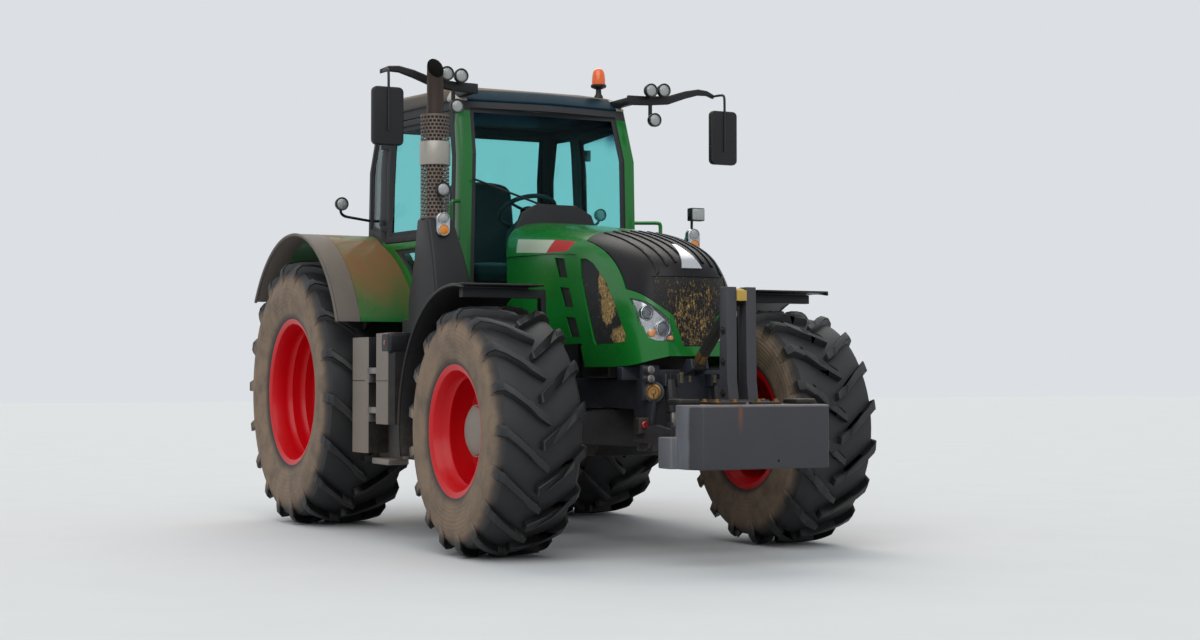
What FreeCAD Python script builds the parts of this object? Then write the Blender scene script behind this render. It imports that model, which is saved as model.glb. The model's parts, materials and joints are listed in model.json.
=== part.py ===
"""Farm tractor with cab, front ballast block and rear three-point linkage.

Millimetres, +Z up, the tractor looks along -Y and its left side is +X.  The origin
lies on the ground, below the middle of the overall length.  Every piece is drawn from
the rear axle line at y = 0 and is moved to the frame by rear_axle_y at the end.
"""
import FreeCAD, Part
import Sketcher
import math
import os

Vector = FreeCAD.Vector
Rotation = FreeCAD.Rotation

doc = FreeCAD.newDocument("farm_tractor")

# Flats round a wheel, and where the first corner lies in degrees
WHEEL_SIDES = 28
WHEEL_PHASE = -84

# Driving sizes: name, value in mm or degrees, what it measures
SIZES = [
    ("wheelbase", 2783, "rear axle line to front axle line"),
    ("rear_track", 1950, "middle of one rear tyre to the other"),
    ("front_track", 1920, "middle of one front tyre to the other"),
    ("rear_tyre_radius", 912, "rear axle height, wheel standing on its lugs"),
    ("front_tyre_radius", 712, "front axle height"),
    ("rear_tyre_width", 640, "across the rear sidewalls"),
    ("front_tyre_width", 540, "across the front sidewalls"),
    ("rear_bead_radius", 483, "seat of the rear tyre on its rim"),
    ("front_bead_radius", 356, "seat of the front tyre on its rim"),
    ("rear_lug", 52, "height of the rear tyres' lugs"),
    ("front_lug", 46, "height of the front tyres' lugs"),
    ("lug_half_width", 20, "half width of a lug, measured round the tyre"),
    ("lug_slant", 17, "degrees by which a lug's outer end lags behind its inner end"),
    ("flange_height", 25, "rim flange above the bead seat"),
    ("rear_rim_width", 544, "between the outer faces of the rear flanges"),
    ("front_rim_width", 490, "between the outer faces of the front flanges"),
    ("rim_plate", 12, "thickness of the rim's steel"),
    ("front_overhang", 1382, "front axle line to the face of the ballast block"),
    ("rear_overhang", 1150, "rear axle line to the tips of the lower links"),
    ("running_gap", 5, "least clearance between moving pieces"),
    ("seat_gap", 0.3, "clearance between pieces that are carried by each other"),
    ("housing_half", 230, "half width of the transmission housing"),
    ("housing_top", 1180, "top of the transmission housing"),
    ("housing_front", 1150, "front face of the transmission housing"),
    ("housing_back", 330, "rear face of the transmission housing"),
    ("housing_bottom", 540, "underside of the transmission housing"),
    ("engine_half", 200, "half width of the engine"),
    ("engine_front", 453, "front face of the engine behind the front axle"),
    ("engine_top", 1500, "top of the engine"),
    ("engine_bottom", 700, "underside of the sump"),
    ("frame_half", 236, "half width over the front frame rails"),
    ("frame_rail", 31, "thickness of a frame rail"),
    ("frame_top", 1010, "top of the front frame rails"),
    ("frame_arch", 835, "underside of the rails over the front axle"),
    ("frame_nose", 552, "front face of the front frame ahead of the front axle"),
    ("frame_plate_top", 1060, "top of the front frame's end plate"),
    ("frame_foot", 600, "foot of the front frame's end plate"),
    ("axle_tube_rear", 130, "radius of the rear axle housings"),
    ("axle_flange_rear", 175, "radius of the rear hub flanges"),
    ("rear_hub_plane", 800, "rear hub flange face from the middle"),
    ("front_hub_plane", 900, "front hub face from the middle"),
    ("kingpin_half", 748, "kingpin axes from the middle"),
    ("kingpin_radius", 52, "radius of the kingpin housing"),
    ("kingpin_half_height", 110, "half height of the kingpin housing"),
    ("fork_plate", 40, "thickness of the knuckle's fork plates"),
    ("front_cap_plane", 1100, "outer face of the front hub cap"),
    ("front_cap_radius", 150, "radius of the front hub cap"),
    ("cab_floor", 1290, "underside of the cab floor"),
    ("cab_waist", 2450, "height at which the pillars start to lean in"),
    ("cab_eaves", 2800, "underside of the roof"),
    ("cab_wall", 45, "depth of the cab's pillars and walls"),
    ("screen_line", 1520, "front corners of the cab ahead of the rear axle"),
    ("screen_bulge", 60, "how far the windscreen bows ahead of its corners"),
    ("screen_half", 645, "half width of the cab at the windscreen's corners"),
    ("pillar_line", 480, "middle pillars ahead of the rear axle"),
    ("pillar_half", 785, "half width of the cab at the middle pillars"),
    ("tail_line", 60, "rear corners of the cab ahead of the rear axle"),
    ("tail_half", 720, "half width of the cab at the rear corners"),
    ("waist_tuck", 20, "how far the sides lean in at the waist"),
    ("eaves_tuck", 35, "how far the sides lean in from the waist to the eaves"),
    ("door_knee", 1915, "height of the step in the door's lower edge"),
    ("door_shelf", 500, "length of that step, which passes over the fender"),
    ("rear_window_low", 1700, "sill of the rear window"),
    ("eaves_lean", 110, "how far the windscreen leans back at the eaves"),
    ("tail_lean", 120, "how far the rear wall leans forward at the eaves"),
    ("glass", 8, "thickness of the panes"),
    ("door_gap", 6, "gap round a door"),
    ("hinge_x", 790, "door hinges from the middle"),
    ("roof_top", 2945, "top of the roof"),
    ("roof_edge", 2900, "top of the roof at its front edge"),
    ("bonnet_half", 370, "half width of the bonnet"),
    ("bonnet_back", 1640, "rear end of the bonnet ahead of the rear axle"),
    ("bonnet_front", 612, "tip of the nose ahead of the front axle"),
    ("bonnet_top_back", 2015, "height of the bonnet at its rear end"),
    ("bonnet_top_mid", 1905, "height of the bonnet behind the nose"),
    ("bonnet_brow", 1700, "height of the nose's brow"),
    ("bonnet_low", 1075, "lower edge of the nose"),
    ("bonnet_sill", 1213, "lower edge of the vent panel"),
    ("bonnet_skin", 20, "depth of the bonnet's walls"),
    ("vent_line", 461, "rear corner of the highest side vent behind the front axle"),
    ("vent_top", 1740, "top of the highest side vent"),
    ("vent_height", 130, "height of a side vent"),
    ("vent_pitch", 181, "drop from one side vent to the next"),
    ("vent_step", 82, "step forward from one side vent to the next"),
    ("rib_height", 7, "height of the ribs on the nose"),
    ("rib_width", 16, "width of a rib on the nose"),
    ("rib_pitch", 58, "from one rib on the nose to the next"),
    ("fender_radius", 1015, "radius of the rear fenders' top"),
    ("fender_ahead", 80, "centre of the rear fenders' arc ahead of the rear axle"),
    ("fender_lift", 73, "centre of that arc above the rear axle"),
    ("fender_skin", 12, "thickness of the fenders"),
    ("fender_out", 1285, "outer edge of the rear fenders from the middle"),
    ("front_fender_radius", 832, "front fender's arc from the front axle"),
    ("front_fender_in", 715, "inner edge of the front fenders from the middle"),
    ("front_fender_out", 1225, "outer edge of the front fenders from the middle"),
    ("ballast_half", 440, "half width of the ballast block"),
    ("ballast_top", 871, "top of the ballast block"),
    ("ballast_bottom", 533, "underside of the ballast block"),
    ("ballast_depth", 365, "ballast block from front to back"),
    ("mast_top", 1505, "top of the coupling mast"),
    ("mast_half", 93, "half width of the coupling mast"),
    ("mast_line", 295, "middle of the mast behind the face of the ballast block"),
    ("front_arm_pivot", 487, "front linkage arms' pivot ahead of the front axle"),
    ("front_arm_pivot_z", 690, "front linkage arms' pivot height"),
    ("front_arm_length", 470, "front linkage arms from pivot to hook"),
    ("top_link_z", 1085, "front top link's pin on the frame"),
    ("lower_link_pivot_y", 180, "lower links' pivot behind the rear axle"),
    ("lower_link_pivot_z", 560, "lower links' pivot height"),
    ("lower_link_in", 285, "lower links' pivots from the middle"),
    ("lower_link_out", 435, "lower links' ball ends from the middle"),
    ("link_width", 45, "width of a lower link at its front eye"),
    ("lift_arm_width", 50, "width of a lift arm"),
    ("lift_rod_width", 32, "width of a lift rod's eyes"),
    ("hitch_bore", 20, "radius of the drawbar hitch's pin hole"),
    ("front_cylinder_half", 150, "front lift cylinders from the middle"),
    ("cylinder_radius", 34, "radius of the front cylinders' barrels"),
    ("cylinder_rod_radius", 19, "radius of the front cylinders' rods"),
    ("cylinder_foot", 160, "rods' feet ahead of the front arms' pivot"),
    ("cylinder_foot_rise", 52, "rods' feet above the front arms' pivot"),
    ("ball_bore", 18.65, "radius of the lower links' ball bores"),
    ("top_bore", 16, "radius of the rear top link's ball bore"),
    ("rockshaft_y", 200, "lift arms' pivot behind the rear axle"),
    ("rockshaft_z", 1100, "lift arms' pivot height"),
    ("pto_radius", 17.5, "radius of the power take-off shaft"),
    ("pto_length", 76, "free length of the power take-off shaft"),
    ("exhaust_x", 880, "exhaust stack from the middle"),
    ("exhaust_y", 1700, "exhaust stack ahead of the rear axle"),
    ("exhaust_radius", 82, "radius of the exhaust's guard"),
    ("exhaust_low", 2012, "lower end of the exhaust's guard"),
    ("exhaust_high", 2650, "upper end of the exhaust's guard"),
    ("band_low", 2335, "lower edge of the plain band round the exhaust's guard"),
    ("band_high", 2480, "upper edge of that band"),
    ("exhaust_tip", 3030, "top of the exhaust"),
    ("beacon_top", 3118, "top of the beacon"),
    ("steps_face", 1150, "outer face of the steps from the middle"),
    ("steps_back", 935, "rear end of the steps ahead of the rear axle"),
    ("steps_front", 1800, "front end of the steps ahead of the rear axle"),
    ("steps_low", 531, "lower end of the step columns"),
    ("steps_high", 1270, "upper end of the step columns"),
]


class Size:
    """A number that remembers the expression over the sheet that gives it."""

    def __init__(self, value, text):
        self.value = float(value)
        self.text = text

    def __add__(self, other):
        return join(self, "+", other, self.value + num(other))

    def __radd__(self, other):
        return join(other, "+", self, num(other) + self.value)

    def __sub__(self, other):
        return join(self, "-", other, self.value - num(other))

    def __rsub__(self, other):
        return join(other, "-", self, num(other) - self.value)

    def __mul__(self, other):
        return join(self, "*", other, self.value * num(other))

    def __rmul__(self, other):
        return join(other, "*", self, num(other) * self.value)

    def __truediv__(self, other):
        return join(self, "/", other, self.value / num(other))

    def __neg__(self):
        return join(0, "-", self, -self.value)


def num(size):
    """The plain value of a size or of a number."""
    return size.value if isinstance(size, Size) else float(size)


def text_of(size):
    """The expression of a size or of a number."""
    return size.text if isinstance(size, Size) else "(%.6f)" % size


def join(left, sign, right, value):
    """Two sizes joined by an arithmetic sign."""
    return Size(value, "(%s %s %s)" % (text_of(left), sign, text_of(right)))


sheet = doc.addObject("Spreadsheet::Sheet", "Dims")
dims = {}
for row, (name, number, note) in enumerate(SIZES, start=1):
    sheet.set("A%d" % row, note)
    sheet.set("B%d" % row, str(number))
    sheet.setAlias("B%d" % row, name)
    dims[name] = Size(number, "Dims." + name)
doc.recompute()


class Named:
    """Gives each driving size by its name, as in d.wheelbase."""

    def __getattr__(self, name):
        return dims[name]


d = Named()
rear_axle_y = (d.front_overhang + d.wheelbase + d.rear_overhang) / 2 - d.rear_overhang
front_axle_y = -d.wheelbase
nose_y = front_axle_y - d.bonnet_front
frame_face_y = front_axle_y - d.frame_nose
arm_pivot_y = front_axle_y - d.front_arm_pivot


def bind(thing, prop, size):
    """Ties one property to a size, or sets it to a plain number."""
    if isinstance(size, Size):
        thing.setExpression(prop, size.text)
    else:
        setattr(thing, prop, size)


def place(thing, where, turn=None):
    """Puts an object at a point given by three sizes."""
    thing.Placement = FreeCAD.Placement(Vector(*[num(w) for w in where]), turn or Rotation())
    for axis, size in zip("xyz", where):
        if isinstance(size, Size):
            thing.setExpression("Placement.Base." + axis, size.text)
    return thing


def box(name, xs, ys, zs):
    """A block between low and high values of x, y and z."""
    block = doc.addObject("Part::Box", name)
    bind(block, "Length", xs[1] - xs[0])
    bind(block, "Width", ys[1] - ys[0])
    bind(block, "Height", zs[1] - zs[0])
    return place(block, (xs[0], ys[0], zs[0]))


AXIS_TURN = {
    "x": Rotation(Vector(0, 1, 0), 90),
    "y": Rotation(Vector(1, 0, 0), -90),
    "z": Rotation(),
}


def rod(name, axis, start, length, radius):
    """A round bar from a start point along one axis of the frame."""
    bar = doc.addObject("Part::Cylinder", name)
    bind(bar, "Radius", radius)
    bind(bar, "Height", length)
    return place(bar, start, AXIS_TURN[axis])


def strut(name, start, end, radius):
    """A round bar between two points."""
    low = Vector(*[num(v) for v in start])
    high = Vector(*[num(v) for v in end])
    bar = doc.addObject("Part::Cylinder", name)
    bind(bar, "Radius", radius)
    bar.Height = (high - low).Length
    return place(bar, start, Rotation(Vector(0, 0, 1), high - low))


PLANES = {"xy": "XY_Plane", "xz": "XZ_Plane", "yz": "YZ_Plane"}


def sketch_on(body, name, plane, offset, shift=(0, 0)):
    """An empty sketch on one of a body's own planes, moved along its normal."""
    sketch = body.newObject("Sketcher::SketchObject", name)
    own = [f for f in body.Origin.OriginFeatures if f.Role == PLANES[plane]][0]
    sketch.AttachmentSupport = [(own, "")]
    sketch.MapMode = "FlatFace"
    sketch.AttachmentOffset = FreeCAD.Placement(
        Vector(num(shift[0]), num(shift[1]), num(offset)), Rotation())
    for axis, size in zip("xyz", (shift[0], shift[1], offset)):
        if isinstance(size, Size):
            sketch.setExpression(".AttachmentOffset.Base." + axis, size.text)
    return sketch


def root(size):
    """The square root of a size."""
    return Size(math.sqrt(num(size)), "sqrt(%s)" % text_of(size))


def arc_edge(here, there, radius, side):
    """The short arc between two points that turns left (side 1) or right (side -1)."""
    chord = there - here
    across = Vector(-chord.y, chord.x, 0).normalize()
    centre = (here + there) * 0.5 + across * side * math.sqrt(radius ** 2 - (chord.Length / 2) ** 2)
    first, last = (here, there) if side > 0 else (there, here)
    start = math.atan2(first.y - centre.y, first.x - centre.x)
    end = math.atan2(last.y - centre.y, last.x - centre.x)
    return Part.ArcOfCircle(Part.Circle(centre, Vector(0, 0, 1), radius), start, end)


def outline(sketch, points):
    """Closes a ring through points (u, v), joined by lines.  A point (u, v, radius, side)
    starts an arc to the next one that turns left with side 1 and right with side -1."""
    count = len(points)
    spots = [Vector(num(p[0]), num(p[1]), 0) for p in points]
    ends = []
    for k, point in enumerate(points):
        here = spots[k]
        there = spots[(k + 1) % count]
        if len(point) == 2:
            sketch.addGeometry(Part.LineSegment(here, there), False)
            ends.append((1, 2))
        else:
            sketch.addGeometry(arc_edge(here, there, num(point[2]), point[3]), False)
            ends.append((1, 2) if point[3] > 0 else (2, 1))
    for k in range(count):
        after = (k + 1) % count
        sketch.addConstraint(Sketcher.Constraint(
            "Coincident", k, ends[k][1], after, ends[after][0]))
    for k, point in enumerate(points):
        values = [("DistanceX", point[0]), ("DistanceY", point[1])]
        for kind, size in values:
            index = sketch.addConstraint(
                Sketcher.Constraint(kind, -1, 1, k, ends[k][0], num(size)))
            if isinstance(size, Size):
                sketch.setExpression("Constraints[%d]" % index, size.text)
        if len(point) == 4:
            index = sketch.addConstraint(Sketcher.Constraint("Radius", k, num(point[2])))
            if isinstance(point[2], Size):
                sketch.setExpression("Constraints[%d]" % index, point[2].text)
    return sketch


def prism(name, plane, points, low, high):
    """A pad of an outline between two distances from a plane.  The outline's (u, v) are
    (x, y) on xy, (x, z) on xz and (y, z) on yz."""
    body = doc.addObject("PartDesign::Body", name)
    start = -high if plane == "xz" else low
    sketch = outline(sketch_on(body, name + "_outline", plane, start), points)
    pad = body.newObject("PartDesign::Pad", name + "_pad")
    pad.Profile = sketch
    bind(pad, "Length", high - low)
    return body


def lofted(name, plane, sections):
    """A ruled loft through outlines at distances along a plane's normal."""
    body = doc.addObject("PartDesign::Body", name)
    drawn = []
    for k, (offset, points) in enumerate(sections):
        distance = -offset if plane == "xz" else offset
        sketch = sketch_on(body, "%s_section%d" % (name, k), plane, distance)
        drawn.append(outline(sketch, points))
    loft = body.newObject("PartDesign::AdditiveLoft", name + "_loft")
    loft.Profile = drawn[0]
    loft.Sections = drawn[1:]
    loft.Ruled = True
    return body


def skinned(rings):
    """A solid between closed rings of corners, its sides split into flat triangles."""
    faces = []
    for ring in (rings[0], rings[-1]):
        faces.append(Part.Face(Part.makePolygon(ring + ring[:1])))
    for here, there in zip(rings, rings[1:]):
        for k in range(len(here)):
            after = (k + 1) % len(here)
            for three in ([here[k], here[after], there[after]], [here[k], there[after], there[k]]):
                faces.append(Part.Face(Part.makePolygon(three + three[:1])))
    shell = Part.makeShell(faces)
    shell.sewShape()
    solid = Part.makeSolid(Part.Shell(shell.Faces))
    if solid.Volume < 0:
        solid.reverse()
    return solid


def skinned_loft(name, plane, sections):
    """A loft through outlines at places along a plane's normal, whose twisted sides are
    split into flat triangles."""
    rings = []
    for offset, points in sections:
        if plane == "xz":
            rings.append([Vector(num(x), num(offset), num(z)) for x, z in points])
        else:
            rings.append([Vector(num(x), num(y), num(offset)) for x, y in points])
    loft = doc.addObject("Part::Feature", name)
    loft.Shape = skinned(rings)
    return loft


def faceted(name, axis, where, sides, profile, phase=0):
    """A ring or post made of flat facets.  The closed profile is given as (distance
    along the axis, radius); where gives the axis's other two coordinates, and the
    first corner lies at the phase angle in degrees."""
    def spot(point, step):
        angle = 2 * math.pi * step / sides + math.radians(phase)
        along = num(point[0])
        first = num(where[0]) + num(point[1]) * math.cos(angle)
        second = num(where[1]) + num(point[1]) * math.sin(angle)
        if axis == "x":
            return Vector(along, first, second)
        if axis == "y":
            return Vector(first, along, second)
        return Vector(first, second, along)
    facets = []
    for step in range(sides):
        for k, point in enumerate(profile):
            after = profile[(k + 1) % len(profile)]
            corners = [spot(point, step)]
            if num(after[1]) > 0 or num(point[1]) > 0:
                corners.append(spot(after, step))
            if num(after[1]) > 0:
                corners.append(spot(after, step + 1))
            if num(point[1]) > 0:
                corners.append(spot(point, step + 1))
            if len(corners) > 2:
                facets.append(Part.Face(Part.makePolygon(corners + corners[:1])))
    shell = Part.makeShell(facets)
    shell.sewShape()
    solid = Part.makeSolid(Part.Shell(shell.Faces))
    if solid.Volume < 0:
        solid.reverse()
    ring = doc.addObject("Part::Feature", name)
    ring.Shape = solid
    return ring


def fuse(name, pieces):
    """One solid out of pieces that meet."""
    joined = doc.addObject("Part::MultiFuse", name)
    joined.Shapes = pieces
    joined.Refine = True
    return joined


def cut(name, base, tools):
    """The base without the space of the tools."""
    for k, tool in enumerate(tools):
        carved = doc.addObject("Part::Cut", "%s_%d" % (name, k))
        carved.Base = base
        carved.Tool = tool
        base = carved
    return base


def common(name, first, second):
    """The space that two solids share."""
    shared = doc.addObject("Part::Common", name)
    shared.Base = first
    shared.Tool = second
    return shared


def mirrored(source):
    """The same piece on the tractor's other side."""
    twin = doc.addObject("Part::Mirroring", source.Name + "_twin")
    twin.Source = source
    twin.Base = Vector(0, 0, 0)
    twin.Normal = Vector(1, 0, 0)
    return twin


NODES = []


def node(label, *pieces):
    """One named sub-part of one or more solids that don't touch, put in the frame."""
    group = doc.addObject("Part::Compound", label)
    group.Links = list(pieces)
    place(group, (0, rear_axle_y, 0))
    group.Label = label
    NODES.append(group)


def both_sides(label, *pieces):
    """One sub-part with the same solids left and right."""
    node(label, *(list(pieces) + [mirrored(piece) for piece in pieces]))


# Chassis

def chassis():
    """The transmission, engine, front frame and radiator."""
    casting = prism("transmission_casting", "yz", [
        (-d.housing_front, d.engine_bottom),
        (-d.housing_front, d.housing_top),
        (-60, d.housing_top),
        (d.housing_back - 90, d.housing_top - 60),
        (d.housing_back, d.housing_top - 150),
        (d.housing_back, d.housing_bottom + 90),
        (d.housing_back - 120, d.housing_bottom),
        (-d.housing_front + 500, d.housing_bottom)],
        -d.housing_half, d.housing_half)
    mounts = []
    for name, y in (("front", -d.housing_front + 90), ("rear", -d.tail_line - 260)):
        for side in (1, -1):
            mid = side * (d.housing_half - 70)
            mounts.append(box("cab_mount_%s_%d" % (name, side), (mid - 50, mid + 50),
                              (y, y + 100), (d.housing_top - 20, d.cab_floor)))
    node("transmission", fuse("transmission_solid", [casting] + mounts))

    engine_front = front_axle_y + d.engine_front
    cab_nose = -d.screen_line - d.screen_bulge - 20
    node("engine", prism("engine_block", "yz", [
        (engine_front, d.engine_bottom), (-d.housing_front, d.engine_bottom),
        (-d.housing_front, d.cab_floor - 50), (cab_nose, d.cab_floor - 50),
        (cab_nose, d.engine_top), (engine_front, d.engine_top)],
        -d.engine_half, d.engine_half))

    arch_back = front_axle_y + 330
    arch_front = front_axle_y - 330
    rail = [
        (-d.housing_front, d.frame_top),
        (-d.housing_front, d.engine_bottom),
        (arch_back + 120, d.engine_bottom),
        (arch_back, d.frame_arch),
        (arch_front, d.frame_arch),
        (arch_front - 70, d.frame_foot),
        (frame_face_y, d.frame_foot),
        (frame_face_y, d.frame_top)]
    inner = d.frame_half - d.frame_rail
    rails = [prism("rail_left", "yz", rail, inner, d.frame_half),
             prism("rail_right", "yz", rail, -d.frame_half, -inner)]
    plate = box("frame_end_plate", (-d.frame_half, d.frame_half),
                (frame_face_y, frame_face_y + 35), (d.frame_foot, d.frame_plate_top))
    bridge = box("frame_bridge", (-d.frame_half, d.frame_half),
                 (front_axle_y - 130, front_axle_y + 130), (d.frame_arch, d.frame_arch + 45))
    ears = []
    for side in (1, -1):
        low = side * 46 - 9
        ears.append(prism("top_link_ear_%d" % side, "yz", [
            (frame_face_y, d.top_link_z - 60),
            (frame_face_y, d.frame_plate_top),
            (frame_face_y - 60, d.top_link_z + 34),
            (frame_face_y - 120, d.top_link_z + 34),
            (frame_face_y - 134, d.top_link_z - 20),
            (frame_face_y - 60, d.top_link_z - 60)], low, low + 18))
    pads = []
    lugs = []
    for side in (1, -1):
        near = d.frame_half - d.frame_rail
        far = d.bonnet_half - 25
        xs = (near, far) if side > 0 else (-far, -near)
        pads.append(box("bonnet_pad_%d" % side, xs, (front_axle_y - 397, front_axle_y - 337),
                        (d.frame_top - 10, d.bonnet_low - d.seat_gap)))
        for edge in (1, -1):
            low = side * d.front_cylinder_half + edge * (d.cylinder_radius + d.seat_gap + 6) - 6
            lugs.append(box("cylinder_lug_%d_%d" % (side, edge), (low, low + 12),
                            (frame_face_y - 80, frame_face_y), (965, 1035)))
    node("front_frame", fuse("front_frame_solid", rails + [plate, bridge] + ears + pads + lugs))

    node("radiator", box("radiator_block", (-290, 290),
                         (front_axle_y - 120, front_axle_y + 220), (d.frame_top, 1600)))


# Axles and knuckles

def axles():
    """The rear axle housings, the front axle beam and the knuckles."""
    trumpet = faceted("axle_trumpet", "x", (0, d.rear_tyre_radius), 16, [
        (d.housing_half, 0),
        (d.housing_half, d.axle_flange_rear + 15),
        (d.housing_half + 90, d.axle_tube_rear + 20),
        (d.rear_hub_plane - 60, d.axle_tube_rear),
        (d.rear_hub_plane - 45, d.axle_flange_rear),
        (d.rear_hub_plane - d.seat_gap, d.axle_flange_rear),
        (d.rear_hub_plane - d.seat_gap, 0)])
    both_sides("rear_axle", trumpet)

    mid = d.front_tyre_radius
    end = d.kingpin_half - 30
    beam = prism("axle_beam", "xz", [
        (-end, mid - 65), (-150, mid - 100), (150, mid - 100), (end, mid - 65),
        (end, mid + 65), (150, d.frame_arch), (-150, d.frame_arch), (-end, mid + 65)],
        front_axle_y - 80, front_axle_y + 80)
    pins = [rod("kingpin_housing_%d" % side, "z",
                (side * d.kingpin_half, front_axle_y, mid - d.kingpin_half_height),
                2 * d.kingpin_half_height, d.kingpin_radius) for side in (1, -1)]
    node("front_axle", fuse("front_axle_solid", [beam] + pins))

    plates = []
    for low in (mid + d.kingpin_half_height + d.seat_gap,
                mid - d.kingpin_half_height - d.seat_gap - d.fork_plate):
        plates.append(box("fork_plate_%d" % len(plates),
                          (d.kingpin_half - d.kingpin_radius, d.front_hub_plane - d.seat_gap),
                          (front_axle_y - 70, front_axle_y + 70), (low, low + d.fork_plate)))
    carrier = faceted("hub_carrier", "x", (front_axle_y, mid), 16, [
        (d.kingpin_half + d.kingpin_radius + 15, 0),
        (d.kingpin_half + d.kingpin_radius + 15, d.front_cap_radius),
        (d.front_hub_plane - d.seat_gap, d.front_cap_radius),
        (d.front_hub_plane - d.seat_gap, 0)])
    bracket_in = d.front_track / 2 - d.front_tyre_width / 2 - 45
    upright = prism("fender_upright", "yz", [
        (front_axle_y - 45, mid + d.kingpin_half_height + 10),
        (front_axle_y + 45, mid + d.kingpin_half_height + 10),
        (front_axle_y + 25, d.front_tyre_radius * 2 + 60),
        (front_axle_y - 25, d.front_tyre_radius * 2 + 60)], bracket_in, bracket_in + 30)
    foot = box("fender_foot", (bracket_in, d.kingpin_half), (front_axle_y - 45, front_axle_y + 45),
               (mid + d.kingpin_half_height + d.seat_gap,
                mid + d.kingpin_half_height + d.seat_gap + d.fork_plate))
    fender_under = mid + d.front_fender_radius - d.fender_skin
    cross = box("fender_cross", (bracket_in, d.front_fender_out - 60),
                (front_axle_y - 25, front_axle_y + 25),
                (d.front_tyre_radius * 2 + 45, fender_under - 12))
    knuckle = fuse("knuckle_solid", plates + [carrier, upright, foot, cross])
    node("left_knuckle", knuckle)
    node("right_knuckle", mirrored(knuckle))


# Wheels

def lug_row(side, axle_y, radius, track, rows, pitches):
    """The slanting lugs of one side of a tyre's tread, half a pitch behind the other
    side's.  Each row along a lug is (distance from the middle, degrees that it lags,
    tip below the tyre's radius, foot below it, half width)."""
    def corner(base, row, edge, drop):
        across, lag, tip, foot, half = row
        reach = num(radius) - num(drop)
        angle = base - math.radians(num(lag)) + edge * num(half) / num(radius)
        return Vector(num(track) / 2 + side * num(across), num(axle_y) + reach * math.cos(angle),
                      num(radius) + reach * math.sin(angle))
    lugs = []
    for step in range(pitches):
        base = 2 * math.pi * (step + 0.25 * (1 - side)) / pitches - math.pi / 2
        base = base + num(d.lug_half_width) / num(radius)
        rings = []
        for row in rows:
            rings.append([corner(base, row, -1, row[3]), corner(base, row, -1, row[2]),
                          corner(base, row, 1, row[2]), corner(base, row, 1, row[3])])
        lugs.append(skinned(rings))
    return lugs


def tyre(name, axle_y, radius, track, width, bead, rim_width, lug, pitches):
    """One tyre, solid inside, from its bead seats out to the tips of its lugs."""
    mid = track / 2
    seat = bead * 1.005
    crown = radius - lug
    wall = crown - seat
    shoulder = width / 2 - 42
    half = [
        (rim_width / 2 - d.rim_plate - 1, seat),
        (rim_width / 2 - 1, bead + d.flange_height + 3),
        (width / 2, seat + wall * 0.52),
        (shoulder, crown - 14)]
    profile = [(mid + x, r) for x, r in half]
    profile += [(mid - x, r) for x, r in reversed(half)]
    carcass = faceted(name + "_carcass", "x", (axle_y, radius), WHEEL_SIDES, profile, WHEEL_PHASE)
    rows = [
        (-d.lug_half_width, 0, 0, lug + 40, d.lug_half_width),
        (width / 2 - 24, d.lug_slant, 26, lug + 90, d.lug_half_width + 5)]
    lugs = []
    for side in (1, -1):
        lugs += lug_row(side, axle_y, radius, track, rows, pitches)
    rubber = doc.addObject("Part::Feature", name)
    rubber.Shape = carcass.Shape.fuse(lugs)
    return rubber


def wheels():
    """Rims and tyres."""
    rear_out = d.rear_track / 2 + d.rear_rim_width / 2
    rear_in = d.rear_track / 2 - d.rear_rim_width / 2
    seat = d.rear_bead_radius - d.seat_gap
    flange = d.rear_bead_radius + d.flange_height
    hub = d.rear_hub_plane
    well = d.rear_bead_radius - 58
    rear_rim = faceted("rear_rim_solid", "x", (0, d.rear_tyre_radius), WHEEL_SIDES, [
        (rear_out, flange), (rear_out - d.rim_plate, seat), (rear_in + d.rim_plate, seat),
        (rear_in, flange), (rear_in, seat - d.rim_plate), (rear_in + 50, well),
        (hub + 12, well), (hub, d.axle_flange_rear + 10), (hub, 0),
        (hub + 50, 0), (hub + 50, 105), (hub + 16, 130),
        (hub + 28, well), (hub + 130, well), (hub + 150, well + 20),
        (hub + 240, well + 20), (hub + 260, well + 40), (rear_out, seat - d.rim_plate)], WHEEL_PHASE)
    front_out = d.front_track / 2 + d.front_rim_width / 2
    front_in = d.front_track / 2 - d.front_rim_width / 2
    seat = d.front_bead_radius - d.seat_gap
    flange = d.front_bead_radius + d.flange_height
    well = d.front_bead_radius - 48
    mid = d.front_track / 2
    front_rim = faceted("front_rim_solid", "x", (front_axle_y, d.front_tyre_radius), WHEEL_SIDES, [
        (front_out, flange), (front_out - d.rim_plate, seat), (front_in + d.rim_plate, seat),
        (front_in, flange), (front_in, seat - d.rim_plate), (front_in + 60, well),
        (mid - 20, well), (mid - 30, d.front_cap_radius), (d.front_hub_plane, d.front_cap_radius),
        (d.front_hub_plane, 0), (d.front_cap_plane, 0), (d.front_cap_plane, d.front_cap_radius - 30),
        (d.front_cap_plane - 22, d.front_cap_radius), (mid - 12, d.front_cap_radius),
        (mid + 4, well), (mid + 130, well), (mid + 155, well + 24),
        (front_out, seat - d.rim_plate)], WHEEL_PHASE)
    rear_tyre = tyre("rear_tyre_solid", 0, d.rear_tyre_radius, d.rear_track,
                     d.rear_tyre_width, d.rear_bead_radius, d.rear_rim_width, d.rear_lug, 18)
    front_tyre = tyre("front_tyre_solid", front_axle_y, d.front_tyre_radius, d.front_track,
                      d.front_tyre_width, d.front_bead_radius, d.front_rim_width, d.front_lug, 17)
    for name, piece in (("rear_rim", rear_rim), ("front_rim", front_rim),
                        ("rear_tyre", rear_tyre), ("front_tyre", front_tyre)):
        node("left_" + name, piece)
        node("right_" + name, mirrored(piece))


# Fenders

fender_y = -d.fender_ahead
fender_z = d.rear_tyre_radius + d.fender_lift


def arc_height(radius, y):
    """Height of an arc about the fender's centre at a distance along y."""
    return fender_z + root(radius * radius - (y - fender_y) * (y - fender_y))


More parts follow.
